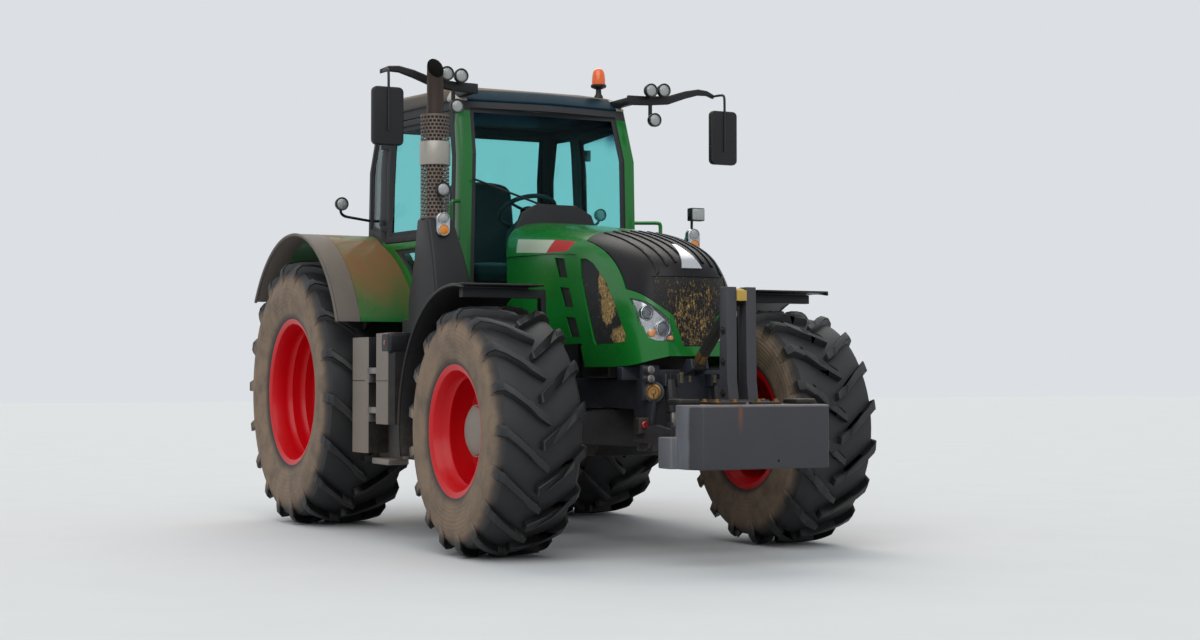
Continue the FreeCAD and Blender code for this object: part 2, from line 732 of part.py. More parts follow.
def arc_reach(radius, z):
    """Front end of such an arc at a height."""
    return fender_y - root(radius * radius - (z - fender_z) * (z - fender_z))


def fenders():
    """Rear fenders on the cab and front fenders that steer with the wheels."""
    outer = d.fender_radius
    inner = d.fender_radius - d.fender_skin
    front_z = 1375
    rear_z = 1560
    def at(radius, z):
        return root(radius * radius - (z - fender_z) * (z - fender_z))
    top = fender_z + outer
    low = fender_z + inner
    arch = [
        (fender_y - at(inner, front_z), front_z, inner, -1),
        (fender_y, low, inner, -1),
        (fender_y + at(inner, rear_z), rear_z),
        (fender_y + at(outer, rear_z), rear_z, outer, 1),
        (fender_y, top, outer, 1),
        (fender_y - at(outer, front_z), front_z)]
    wall = d.rear_track / 2 - d.rear_tyre_width / 2 - 45
    skin = prism("fender_arch", "yz", arch, wall, d.fender_out)
    side = prism("fender_wall", "yz", [
        (fender_y - at(inner, front_z), front_z, inner, -1),
        (fender_y, low, inner, -1),
        (fender_y + at(inner, rear_z), rear_z),
        (fender_y + at(inner, rear_z), rear_z - 150),
        (60, d.cab_floor),
        (fender_y - at(inner, front_z), d.cab_floor)], wall, wall + d.fender_skin)
    both_sides("rear_fenders", fuse("fender_solid", [skin, side]))

    outer = d.front_fender_radius
    inner = d.front_fender_radius - d.fender_skin
    mid = d.front_tyre_radius
    y = front_axle_y
    foot = 540
    tip = 150
    def reach(radius, z):
        return root(radius * radius - (z - mid) * (z - mid))
    points = [
        (y + reach(inner, foot), foot, inner, 1),
        (y, mid + inner),
        (y - tip, mid + inner),
        (y - tip, mid + outer),
        (y, mid + outer, outer, -1),
        (y + reach(outer, foot), foot)]
    skin = prism("front_fender_skin", "yz", points, d.front_fender_in, d.front_fender_out)
    clip = box("front_fender_clip", (d.front_fender_in + 40, d.front_fender_out - 80),
               (y - 25, y + 25), (mid + inner - 12, mid + inner + 5))
    fender = fuse("front_fender_solid", [skin, clip])
    node("left_front_fender", fender)
    node("right_front_fender", mirrored(fender))


# Cab

def cab_ring(level, inset):
    """The cab's outline from above at the floor, the waist or the eaves, shrunk inwards."""
    slope = (d.pillar_half - d.screen_half) / (d.screen_line - d.pillar_line)
    taper = (d.pillar_half - d.tail_half) / (d.pillar_line - d.tail_line)
    tuck = {"low": 0, "waist": d.waist_tuck, "eaves": d.waist_tuck + d.eaves_tuck}[level]
    lean = d.eaves_lean if level == "eaves" else 0
    tail = d.tail_lean if level == "eaves" else 0
    front = d.screen_line - lean - inset
    half = [
        (d.screen_half + slope * lean - tuck - inset, -front),
        (d.pillar_half - tuck - inset, -d.pillar_line),
        (d.tail_half + taper * tail - tuck - inset, -d.tail_line - tail - inset)]
    ring = [(0, -front - d.screen_bulge)] + half
    return ring + [(-x, y) for x, y in reversed(half)]


def cab_loft(name, inset, low, high):
    """A ruled solid inside the cab's outer faces by an inset."""
    return lofted(name, "xy", [
        (low, cab_ring("low", inset)),
        (d.cab_waist, cab_ring("waist", inset)),
        (high, cab_ring("eaves", inset))])


def door_outline(gap):
    """The door from the side, (y, z), shrunk by a gap: wide above, narrow at the foot,
    so that it swings over the fender."""
    front = -d.screen_line + 65 + gap
    back = -d.pillar_line - 55 - gap
    sill = d.cab_floor + 110 + gap
    high = d.cab_eaves - 55 - gap
    knee = d.door_knee + gap
    return [
        (front, sill),
        (front, d.cab_waist - 10),
        (front + 85, high),
        (back, high),
        (back, knee),
        (back - d.door_shelf, knee),
        (back - d.door_shelf - 195, sill)]


def cab():
    """The cab's frame, roof, doors and glass."""
    outside = cab_loft("cab_outside", 0, d.cab_floor, d.cab_eaves)
    inside = cab_loft("cab_inside", d.cab_wall, d.cab_floor + 45, d.cab_eaves)
    shell = cut("cab_shell", outside, [inside])

    pane_out = cab_loft("pane_outside", 12, d.cab_floor + 50, d.cab_eaves)
    pane_in = cab_loft("pane_inside", 12 + d.glass, d.cab_floor + 50, d.cab_eaves)
    panes = cut("pane_shell", pane_out, [pane_in])

    width = d.pillar_half + 50
    hinge_y = -d.pillar_line - 55 - d.door_gap
    door_hole = prism("door_hole", "yz", door_outline(0), -width, width)
    arch_radius = d.fender_radius + 50
    low_back = -d.pillar_line - 55
    low_top = d.door_knee - 45
    low_sill = d.cab_floor + 110
    low_pane = [
        (arc_reach(arch_radius, low_top), low_top),
        (low_back - d.door_shelf + 20, low_top),
        (low_back - d.door_shelf - 160, low_sill),
        (arc_reach(arch_radius, low_sill), low_sill, arch_radius, -1)]
    low_hole = prism("low_pane_hole", "yz", low_pane, -width, width)
    quarter = [
        (-d.pillar_line + 45, arc_height(arch_radius, -d.pillar_line + 45)),
        (-d.pillar_line + 45, d.cab_eaves - 55),
        (-d.tail_line - 55 - d.tail_lean * 0.8, d.cab_eaves - 55),
        (-d.tail_line - 55, d.cab_waist),
        (-d.tail_line - 55, arc_height(arch_radius, -d.tail_line - 55))]
    quarter_hole = prism("quarter_hole", "yz", quarter, -width, width)
    high = d.cab_eaves - 45
    screen = [
        (d.screen_half - 75, d.cab_floor + 110),
        (d.screen_half - d.waist_tuck - 75, d.cab_waist),
        (d.screen_half - d.waist_tuck - d.eaves_tuck - 60, high)]
    screen += [(-x, z) for x, z in reversed(screen)]
    front_y = -d.screen_line - d.screen_bulge
    screen_hole = prism("screen_hole", "xz", screen, front_y - 20, front_y + 330)
    wall = d.rear_track / 2 - d.rear_tyre_width / 2 - 45
    fender_top = fender_z + d.fender_radius
    rear = [
        (wall - 20, d.rear_window_low),
        (wall - 20, fender_top + 30),
        (d.tail_half - 88, fender_top + 80),
        (d.tail_half - d.waist_tuck - 75, d.cab_waist),
        (d.tail_half - d.waist_tuck - d.eaves_tuck - 70, high)]
    rear += [(-x, z) for x, z in reversed(rear)]
    rear_hole = prism("rear_hole", "xz", rear, -d.tail_line - 220, -d.tail_line + 20)

    arch_cut = []
    for side, low, deep in ((1, wall, width), (-1, -width, -wall)):
        arch_cut.append(rod("arch_cut_%d" % side, "x", (low, fender_y, fender_z), deep - low,
                            d.fender_radius + d.seat_gap))
    holes = [door_hole, low_hole, quarter_hole, screen_hole, rear_hole]
    frame_lugs = []
    door_lugs = []
    for k, z in enumerate((2000, 2560)):
        seam = z + 40
        door_lugs.append(box("door_lug_%d" % k, (725, d.hinge_x + 8), (hinge_y - 15, hinge_y + 5),
                             (z, seam)))
        frame_lugs.append(box("pillar_lug_%d" % k, (725, d.hinge_x + 5), (hinge_y + 7, hinge_y + 25),
                              (seam + d.seat_gap, seam + 40)))
        frame_lugs.append(box("pillar_eye_%d" % k, (d.hinge_x - 10, d.hinge_x + 10),
                              (hinge_y - 10, hinge_y + 25), (seam + d.seat_gap, seam + 40)))
    carved = cut("cab_frame_carved", shell, holes + arch_cut)
    node("cab_frame", fuse("cab_frame_solid", [carved] + frame_lugs
                           + [mirrored(lug) for lug in frame_lugs]))

    screen_pane = common("screen_pane", panes, screen_hole)
    rear_pane = common("rear_pane", panes, rear_hole)
    low_panes = common("low_panes", panes, low_hole)
    quarter_panes = common("quarter_panes", panes, quarter_hole)
    node("cab_glass", screen_pane, rear_pane, low_panes, quarter_panes)

    leaf_block = prism("door_leaf_block", "yz", door_outline(d.door_gap), 300, width)
    window_block = prism("door_window_block", "yz", door_outline(d.door_gap + 40), 300, width)
    leaf = common("door_leaf", shell, leaf_block)
    frame = fuse("door_frame", [cut("door_ring", leaf, [window_block])] + door_lugs)
    pane = common("door_pane", panes, window_block)
    node("left_door", frame)
    node("right_door", mirrored(frame))
    node("left_door_glass", pane)
    node("right_door_glass", mirrored(pane))

    def roof_ring(level, shrink, lean, tail):
        ring = cab_ring("eaves", shrink)
        moved = []
        for x, y in ring:
            shift = lean if num(y) < -num(d.pillar_line) - 1 else 0
            shift = -tail if num(y) > -num(d.pillar_line) + 1 else shift
            moved.append((x, y + shift))
        return moved
    roof = skinned_loft("roof_solid", "xy", [
        (d.cab_eaves, roof_ring(0, -22, 0, 0)),
        (d.roof_edge, roof_ring(1, 5, 125, -30)),
        (d.roof_top, roof_ring(2, 150, 180, 60))])
    node("cab_roof", roof)
    return outside, roof


# Bonnet

def bonnet_rings(inset):
    """Cross-sections of the bonnet from the cab to the nose: distance ahead of the rear
    axle, then half of the outline as (x, z) from the top down."""
    half = d.bonnet_half
    rear = d.bonnet_top_back
    mid = d.bonnet_top_mid
    low = d.bonnet_low
    rings = [
        (d.bonnet_back, [(0, rear), (230, rear - 12), (330, rear - 75), (half, rear - 150),
                         (half, d.bonnet_sill), (half - 20, low)]),
        (d.wheelbase - 83, [(0, mid), (225, mid - 10), (325, mid - 65), (half, mid - 145),
                (half, d.bonnet_sill), (half - 20, low)]),
        (d.wheelbase + 417, [(0, mid - 130), (205, mid - 150), (290, mid - 230), (half - 15, mid - 420),
                (half - 5, d.bonnet_sill), (half - 25, low)]),
        (d.wheelbase + d.bonnet_front - 85, [(0, d.bonnet_brow + 10), (175, d.bonnet_brow - 15),
                               (250, d.bonnet_brow - 90), (half - 50, 1450),
                               (half - 25, d.bonnet_sill + 20), (half - 45, low + 12)]),
        (d.wheelbase + d.bonnet_front, [(0, d.bonnet_brow - 60), (120, d.bonnet_brow - 75),
                          (180, d.bonnet_brow - 160), (235, 1430),
                          (265, d.bonnet_sill + 40), (245, low + 60)])]
    shrunk = []
    for k, (distance, points) in enumerate(rings):
        moved = distance - inset if k == len(rings) - 1 else distance
        moved = moved - 20 if inset and k == 0 else moved
        narrow = [(x - inset if num(x) > 0 else x, z - inset) for x, z in points]
        narrow[-1] = (narrow[-1][0], points[-1][1] - (20 if inset else 0))
        shrunk.append((-moved, [(-x, z) for x, z in reversed(narrow[1:])] + narrow))
    return shrunk


def hood():
    """The bonnet with its nose, grilles and lamps."""
    outside = skinned_loft("bonnet_outside", "xz", bonnet_rings(0))
    inside = skinned_loft("bonnet_inside", "xz", bonnet_rings(d.bonnet_skin))
    skirt = prism("bonnet_skirt", "yz", [
        (-d.bonnet_back + 10, d.bonnet_low - 60),
        (-d.bonnet_back + 10, 1400),
        (front_axle_y + 603, 1340),
        (front_axle_y + 363, d.bonnet_sill),
        (front_axle_y + 93, d.bonnet_sill),
        (front_axle_y + 43, d.bonnet_low - 60)], -500, 500)
    shell = cut("bonnet_shell", outside, [inside, skirt])

    def nose(gap, name):
        return prism(name, "xz", [
            (-300 + gap, 1990), (-318 + gap, 1560), (-250 + gap, 1440), (-60 + gap, 1195 + gap),
            (60 - gap, 1195 + gap), (250 - gap, 1440), (318 - gap, 1560), (300 - gap, 1990)],
            nose_y - 30, front_axle_y + 118 - gap)

    def lamp(gap, name):
        return prism(name, "xz", [
            (150 + gap, 1215 + gap), (300 - gap, 1240 + gap), (335 - gap, 1455 - gap),
            (240 + gap, 1400 - gap)], nose_y - 30, front_axle_y - 337)

    def side_grille(gap, name, low, high):
        return prism(name, "yz", [
            (front_axle_y + 93 - gap, 1235 + gap), (front_axle_y + 103 - gap, 1640),
            (front_axle_y + 23, 1720 - 2 * gap), (front_axle_y - 67 + gap, 1690 - gap),
            (front_axle_y - 407 + 2 * gap, 1260 + gap), (front_axle_y - 377 + gap, 1235 + gap)],
            low, high)

    vents = []
    for k in range(3):
        front = front_axle_y + d.vent_line - d.vent_step * k
        high = d.vent_top - d.vent_pitch * k
        for side in (1, -1):
            reach = sorted((side * (d.bonnet_half - 8), side * (d.bonnet_half + 40)), key=num)
            vents.append(prism("vent_%d_%d" % (k, side), "yz", [
                (front, high), (front - 95, high - 14), (front - 150, high - d.vent_height),
                (front - 62, high - d.vent_height + 10)], reach[0], reach[1]))
    cutters = vents + [nose(0, "nose_hole"), lamp(0, "lamp_hole_left"), mirrored(lamp(0, "lamp_hole_right")),
               side_grille(0, "side_grille_hole", -500, 500)]
    node("bonnet", cut("bonnet_solid", shell, cutters))
    grille = common("nose_grille_solid", shell, nose(d.seat_gap, "nose_block"))
    proud = skinned_loft("nose_rib_envelope", "xz", bonnet_rings(-d.rib_height))
    slabs = []
    for k in range(4):
        middle = d.rib_pitch * (k + 0.5)
        for side in (1, -1):
            slabs.append(box("nose_rib_slab_%d_%d" % (k, side),
                             (middle * side - d.rib_width / 2, middle * side + d.rib_width / 2),
                             (nose_y + 75, front_axle_y + 93), (d.bonnet_brow - 90, d.bonnet_top_back)))
    ribs = cut("nose_ribs", common("nose_rib_slabs", proud, fuse("nose_slabs", slabs)), [outside])
    node("nose_grille", fuse("ribbed_nose", [grille, ribs]))
    lamp_left = common("lamp_left", shell, lamp(d.seat_gap, "lamp_block"))
    node("headlamps", lamp_left, mirrored(lamp_left))
    grille_left = common("side_grille_left", shell, side_grille(d.seat_gap, "side_block", 200, 500))
    node("side_grilles", grille_left, mirrored(grille_left))


# Steps, tanks and exhaust

def flanks():
    """Tanks, steps and the exhaust along the cab's foot."""
    tank_in = d.frame_half + d.seat_gap
    tank = prism("tank_solid", "yz", [
        (-d.steps_front, d.steps_low + 60), (-d.steps_front, d.housing_top - 20),
        (-d.steps_back - 20, d.housing_top - 20), (-d.steps_back - 20, d.steps_low + 120),
        (-d.steps_back - 120, d.steps_low - 30), (-d.steps_front + 90, d.steps_low - 30)],
        tank_in, d.steps_face - 150)
    both_sides("tanks", tank)

    face = d.steps_face
    back = face - 150
    column_a = prism("step_column_rear", "xy", [
        (back, -d.steps_back), (face - 25, -d.steps_back), (face, -d.steps_back - 30),
        (face, -d.steps_back - 250), (face - 20, -d.steps_back - 275), (back, -d.steps_back - 275)],
        d.steps_low, d.steps_high)
    column_b = prism("step_column_front", "xy", [
        (back, -d.steps_back - 436), (face - 20, -d.steps_back - 436),
        (face, -d.steps_back - 460), (face, -d.steps_back - 650),
        (face - 40, -d.steps_back - 682), (back, -d.steps_back - 682)],
        d.steps_low + 190, d.steps_high + 20)
    treads = []
    for k, (z, near, far) in enumerate(((1040, 275, 436), (790, 275, 436))):
        treads.append(box("tread_%d" % k, (back, face - 25),
                          (-d.steps_back - far, -d.steps_back - near), (z, z + 32)))
    hanger = box("step_hanger", (back, back + 40), (-d.steps_back - 640, -d.steps_back - 400),
                 (d.steps_low - 45, d.steps_low + 200))
    lowest = box("tread_low", (back, face - 15), (-d.steps_back - 640, -d.steps_back - 360),
                 (d.steps_low - 60, d.steps_low - 28))
    both_sides("steps", fuse("steps_solid", [column_a, column_b, hanger, lowest] + treads))

    x = -d.exhaust_x
    y = -d.exhaust_y
    guard = faceted("exhaust_guard", "z", (x, y), 20, [
        (d.exhaust_low - 10, 0), (d.exhaust_low - 10, d.exhaust_radius),
        (d.band_low, d.exhaust_radius), (d.band_low, d.exhaust_radius + 5),
        (d.band_high, d.exhaust_radius + 5), (d.band_high, d.exhaust_radius),
        (d.exhaust_high, d.exhaust_radius), (d.exhaust_high, 0)])
    shroud = lofted("exhaust_shroud", "xy", [
        (1500, [(x - 90, y - 240), (x + 170, y - 240), (x + 170, y + 225), (x - 90, y + 225)]),
        (1760, [(x - 85, y - 170), (x + 130, y - 170), (x + 130, y + 140), (x - 85, y + 140)]),
        (d.exhaust_low, [(x - 85, y - 85), (x + 85, y - 85), (x + 85, y + 85), (x - 85, y + 85)])])
    canister = box("exhaust_canister", (x - 90, x + 170), (y - 200, y + 225),
                   (d.housing_top - 20, 1500))
    tail = box("exhaust_tail", (x - 90, x + 170), (y + 200, y + 330),
               (d.housing_top - 20, d.cab_floor + 95))
    pipe = faceted("exhaust_pipe", "z", (x, y), 14, [
        (d.exhaust_high - 5, 0), (d.exhaust_high - 5, 56), (d.exhaust_high + 170, 56),
        (d.exhaust_high + 170, 0)])
    bend = strut("exhaust_bend", (x, y, d.exhaust_high + 150), (x - 25, y + 35, d.exhaust_tip - 20), 54)
    mouth = strut("exhaust_mouth", (x - 25, y + 35, d.exhaust_tip - 190),
                  (x - 20, y - 60, d.exhaust_tip + 60), 46)
    stack = cut("exhaust_solid", fuse("exhaust_pieces", [guard, shroud, canister, tail, pipe, bend]),
                [mouth])
    node("exhaust", stack)


# Inside the cab and on it

def interior():
    """Seat, dashboard and steering wheel on the cab floor."""
    floor = d.cab_floor + 45
    seat_y = -560
    node("seat_pedestal", box("seat_pedestal_solid", (-210, 210), (seat_y - 200, seat_y + 200),
                              (floor, floor + 330)))
    cushion = floor + 330
    node("seat_cushion", prism("seat_cushion_solid", "yz", [
        (seat_y - 290, cushion), (seat_y + 210, cushion), (seat_y + 330, cushion + 720),
        (seat_y + 230, cushion + 740), (seat_y + 130, cushion + 150), (seat_y - 290, cushion + 130)],
        -260, 260))
    column = prism("dash_column", "yz", [
        (-1480, floor), (-1250, floor), (-1180, 1900), (-1200, 1985), (-1400, 2060), (-1500, 2010)],
        -170, 170)
    console = box("side_console", (-480, -275), (-900, -350), (floor, floor + 560))
    node("dashboard", column, console)
    ring = doc.addObject("Part::Prism", "wheel_outer")
    ring.Polygon = 16
    ring.Circumradius = 205
    ring.Height = 26
    hole = doc.addObject("Part::Prism", "wheel_inner")
    hole.Polygon = 16
    hole.Circumradius = 178
    hole.Height = 26
    rim = cut("wheel_rim", ring, [hole])
    spoke = box("wheel_spoke", (-180, 180), (-22, 22), (0, 20))
    stem = box("wheel_stem", (-30, 30), (-30, 30), (-130, 10))
    wheel = fuse("wheel_solid", [rim, spoke, stem])
    tilt = Rotation(Vector(1, 0, 0), -28)
    stem_foot = tilt.multVec(Vector(0, 0, -130))
    place(wheel, (0, -1240 - stem_foot.y, 2000 - stem_foot.z), tilt)
    node("steering_wheel", cut("wheel_seated", wheel, [column]))


def cowl_and_wiper():
    """The black bulkhead cover behind the bonnet, which carries the wiper."""
    back = -d.screen_line - d.screen_bulge - 20
    front = -d.bonnet_back + d.running_gap
    top = d.bonnet_top_back + 115
    cover = prism("cowl_cover", "xz", [
        (-300, d.engine_top), (300, d.engine_top), (330, 1880), (250, top - 60), (140, top),
        (-140, top), (-250, top - 60), (-330, 1880)], front, back)
    arm = doc.addObject("Part::Box", "wiper_arm")
    arm.Length = 575
    arm.Width = 12
    arm.Height = 14
    turn = Rotation(Vector(0, 1, 0), 180 + 18)
    lean = Rotation(Vector(0, 0, 1), -4)
    place(arm, (-10, back - 2, top - 20), lean.multiply(turn))
    hinge = box("bonnet_hinge", (-20, 20), (-d.bonnet_back - 20, front + 10),
                (d.bonnet_top_back - 75, d.bonnet_top_back - d.bonnet_skin - 5.6))
    node("cowl", fuse("cowl_solid", [cover, arm, hinge]))


def lamp_pod(name, x, y, z, radius, depth):
    """A round lamp that looks forward, its lens at y."""
    return faceted(name, "y", (x, z), 10, [
        (y, 0), (y, radius), (y + depth, radius * 0.72), (y + depth, 0)])


def roof_gear(roof):
    """Arms, mirrors, lamps and the beacon round the roof."""
    back = -1572
    front = -1600
    arm = prism("roof_arm", "xz", [
        (540, 2822), (740, 2835), (880, 2865), (1010, 2912), (1120, 2925), (1180, 2905),
        (1215, 2905), (1215, 2930), (1160, 2962), (1010, 2950), (880, 2905), (540, 2880)],
        front, back)
    stay = box("roof_arm_stay", (540, 600), (front, -1300), (2822, 2878))
    forward = box("mirror_arm", (1190, 1215), (-1740, back), (2905, 2930))
    drop = box("mirror_drop", (1190, 1215), (-1740, -1715), (2800, 2910))
    hanger = box("low_lamp_hanger", (700, 724), (front, front + 20), (2700, 2840))
    mirror = box("mirror_head", (1100, 1305), (-1745, -1690), (2440, 2806))
    pieces = fuse("roof_arm_solid", [arm, stay, forward, drop, hanger, mirror])
    seated = []
    for k, arm_side in enumerate((pieces, mirrored(pieces))):
        seated.append(cut("roof_arm_seated_%d" % k, arm_side, [roof]))
    node("roof_arms", *seated)

    lamps = []
    for k, (x, z) in enumerate(((684, 2918), (782, 2925), (712, 2723))):
        lamps.append(lamp_pod("roof_lamp_%d" % k, x, front - 68, z, 46, 68))
    both_sides("work_lamps", *lamps)

    base = d.roof_edge + 20
    beacon = faceted("beacon_solid", "z", (520, -1210), 12, [
        (base - 20, 0), (base - 20, 34), (base + 20, 20), (base + 52, 18), (base + 70, 54),
        (base + 82, 54), (base + 90, 46), (d.beacon_top - 30, 46), (d.beacon_top, 30),
        (d.beacon_top, 0)])
    node("beacon", cut("beacon_seated", beacon, [roof]))


# Front linkage with the ballast block

def front_linkage():
    """The front lift arms, cylinders, top link and the ballast block with its mast."""
    pivot_y = arm_pivot_y
    pivot_z = d.front_arm_pivot_z
    side_in = d.frame_half + d.seat_gap
    cheek = prism("hitch_cheek", "yz", [
        (frame_face_y + 140, d.frame_foot), (frame_face_y + 140, d.frame_top),
        (frame_face_y - 40, d.frame_top), (frame_face_y - 60, 900),
        (pivot_y - 60, pivot_z - 70), (pivot_y + 20, pivot_z - 90)], side_in, side_in + 24)
    both_sides("front_hitch_frame", cheek)

    arm_in = side_in + 24 + d.seat_gap
    reach = d.front_arm_length
    arm = prism("front_arm", "yz", [
        (pivot_y + 45, pivot_z - 40), (pivot_y + 45, pivot_z + 40), (pivot_y - 200, pivot_z + 62),
        (pivot_y - reach + 40, pivot_z + 30), (pivot_y - reach - 30, pivot_z + 40),
        (pivot_y - reach - 38, pivot_z - 22), (pivot_y - reach + 40, pivot_z - 45),
        (pivot_y - 200, pivot_z - 42)], arm_in, arm_in + 34)
    tube = box("front_arm_tube", (-arm_in - 5, arm_in + 5), (pivot_y - 190, pivot_y - 130),
               (pivot_z - 35, pivot_z + 25))
    lugs = []
    foot_y = pivot_y - d.cylinder_foot
    foot_z = pivot_z + d.cylinder_foot_rise
    for side in (1, -1):
        for edge in (1, -1):
            low = side * d.front_cylinder_half + edge * (d.cylinder_rod_radius + d.seat_gap + 5) - 5
            lugs.append(box("rod_lug_%d_%d" % (side, edge), (low, low + 10),
                            (foot_y - 25, foot_y + 25), (pivot_z - 20, foot_z + 22)))
    node("front_lift_arms", fuse("front_arms_solid", [arm, mirrored(arm), tube] + lugs))

    face = front_axle_y - d.front_overhang
    half = d.ballast_half
    low = d.ballast_bottom
    top = d.ballast_top
    back = face + d.ballast_depth
    block = prism("ballast_block", "xy", [
        (-half + 50, face), (half - 50, face), (half, face + 105), (half, back - 160),
        (half - 90, back), (-half + 90, back), (-half, back - 160), (-half, face + 105)], low, top)
    wings = prism("ballast_wings", "xy", [
        (-half - 35, back - 170), (half + 35, back - 170), (half + 35, back - 30),
        (-half - 35, back - 30)], low, low + 167)
    ear_in = arm_in + 34 + d.seat_gap
    hook_y = pivot_y - reach
    ears = []
    for side in (1, -1):
        xs = (ear_in, ear_in + 26) if side > 0 else (-ear_in - 26, -ear_in)
        ears.append(box("ballast_ear_%d" % side, xs, (back - 10, hook_y + 45),
                        (pivot_z - 60, pivot_z + 60)))
    mast_y = face + d.mast_line
    mast = []
    for side in (1, -1):
        xs = (d.mast_half - 62, d.mast_half) if side > 0 else (-d.mast_half, 62 - d.mast_half)
        mast.append(prism("mast_plate_%d" % side, "yz", [
            (mast_y - 62, top - 5), (mast_y + 62, top - 5), (mast_y + 40, top + 130),
            (mast_y + 36, d.mast_top), (mast_y - 36, d.mast_top), (mast_y - 40, top + 130)],
            xs[0], xs[1]))
    foot = box("mast_foot", (-d.mast_half - 60, d.mast_half + 60), (mast_y - 75, back),
               (top - 5, top + 24))
    node("ballast", fuse("ballast_solid", [block, wings, foot] + ears + mast))

    pin_y = frame_face_y - 95
    pin_z = d.top_link_z
    end_y = mast_y
    end_z = d.mast_top - 45
    run = math.hypot(num(end_y) - num(pin_y), num(end_z) - num(pin_z))
    tilt = math.degrees(math.atan2(num(end_z) - num(pin_z), num(pin_y) - num(end_y)))
    eye = 46 - 9 - 0.3
    bar = doc.addObject("Part::Box", "top_link_bar")
    bar.Length = 48
    bar.Width = run
    bar.Height = 48
    turn = Rotation(Vector(1, 0, 0), 180 - tilt)
    shift = turn.multVec(Vector(0, 0, -24))
    place(bar, (-24, pin_y + shift.y, pin_z + shift.z), turn)
    eyes = []
    for k, (y, z, reach_x) in enumerate(((pin_y, pin_z, eye), (end_y, end_z, num(d.mast_half) - 62.3))):
        disc = doc.addObject("Part::Prism", "top_link_eye_%d" % k)
        disc.Polygon = 8
        disc.Circumradius = 34
        disc.Height = 2 * reach_x
        eyes.append(place(disc, (-reach_x, y, z), AXIS_TURN["x"]))
    node("front_top_link", fuse("front_top_link_solid", [bar] + eyes))


# Rear linkage and hitch

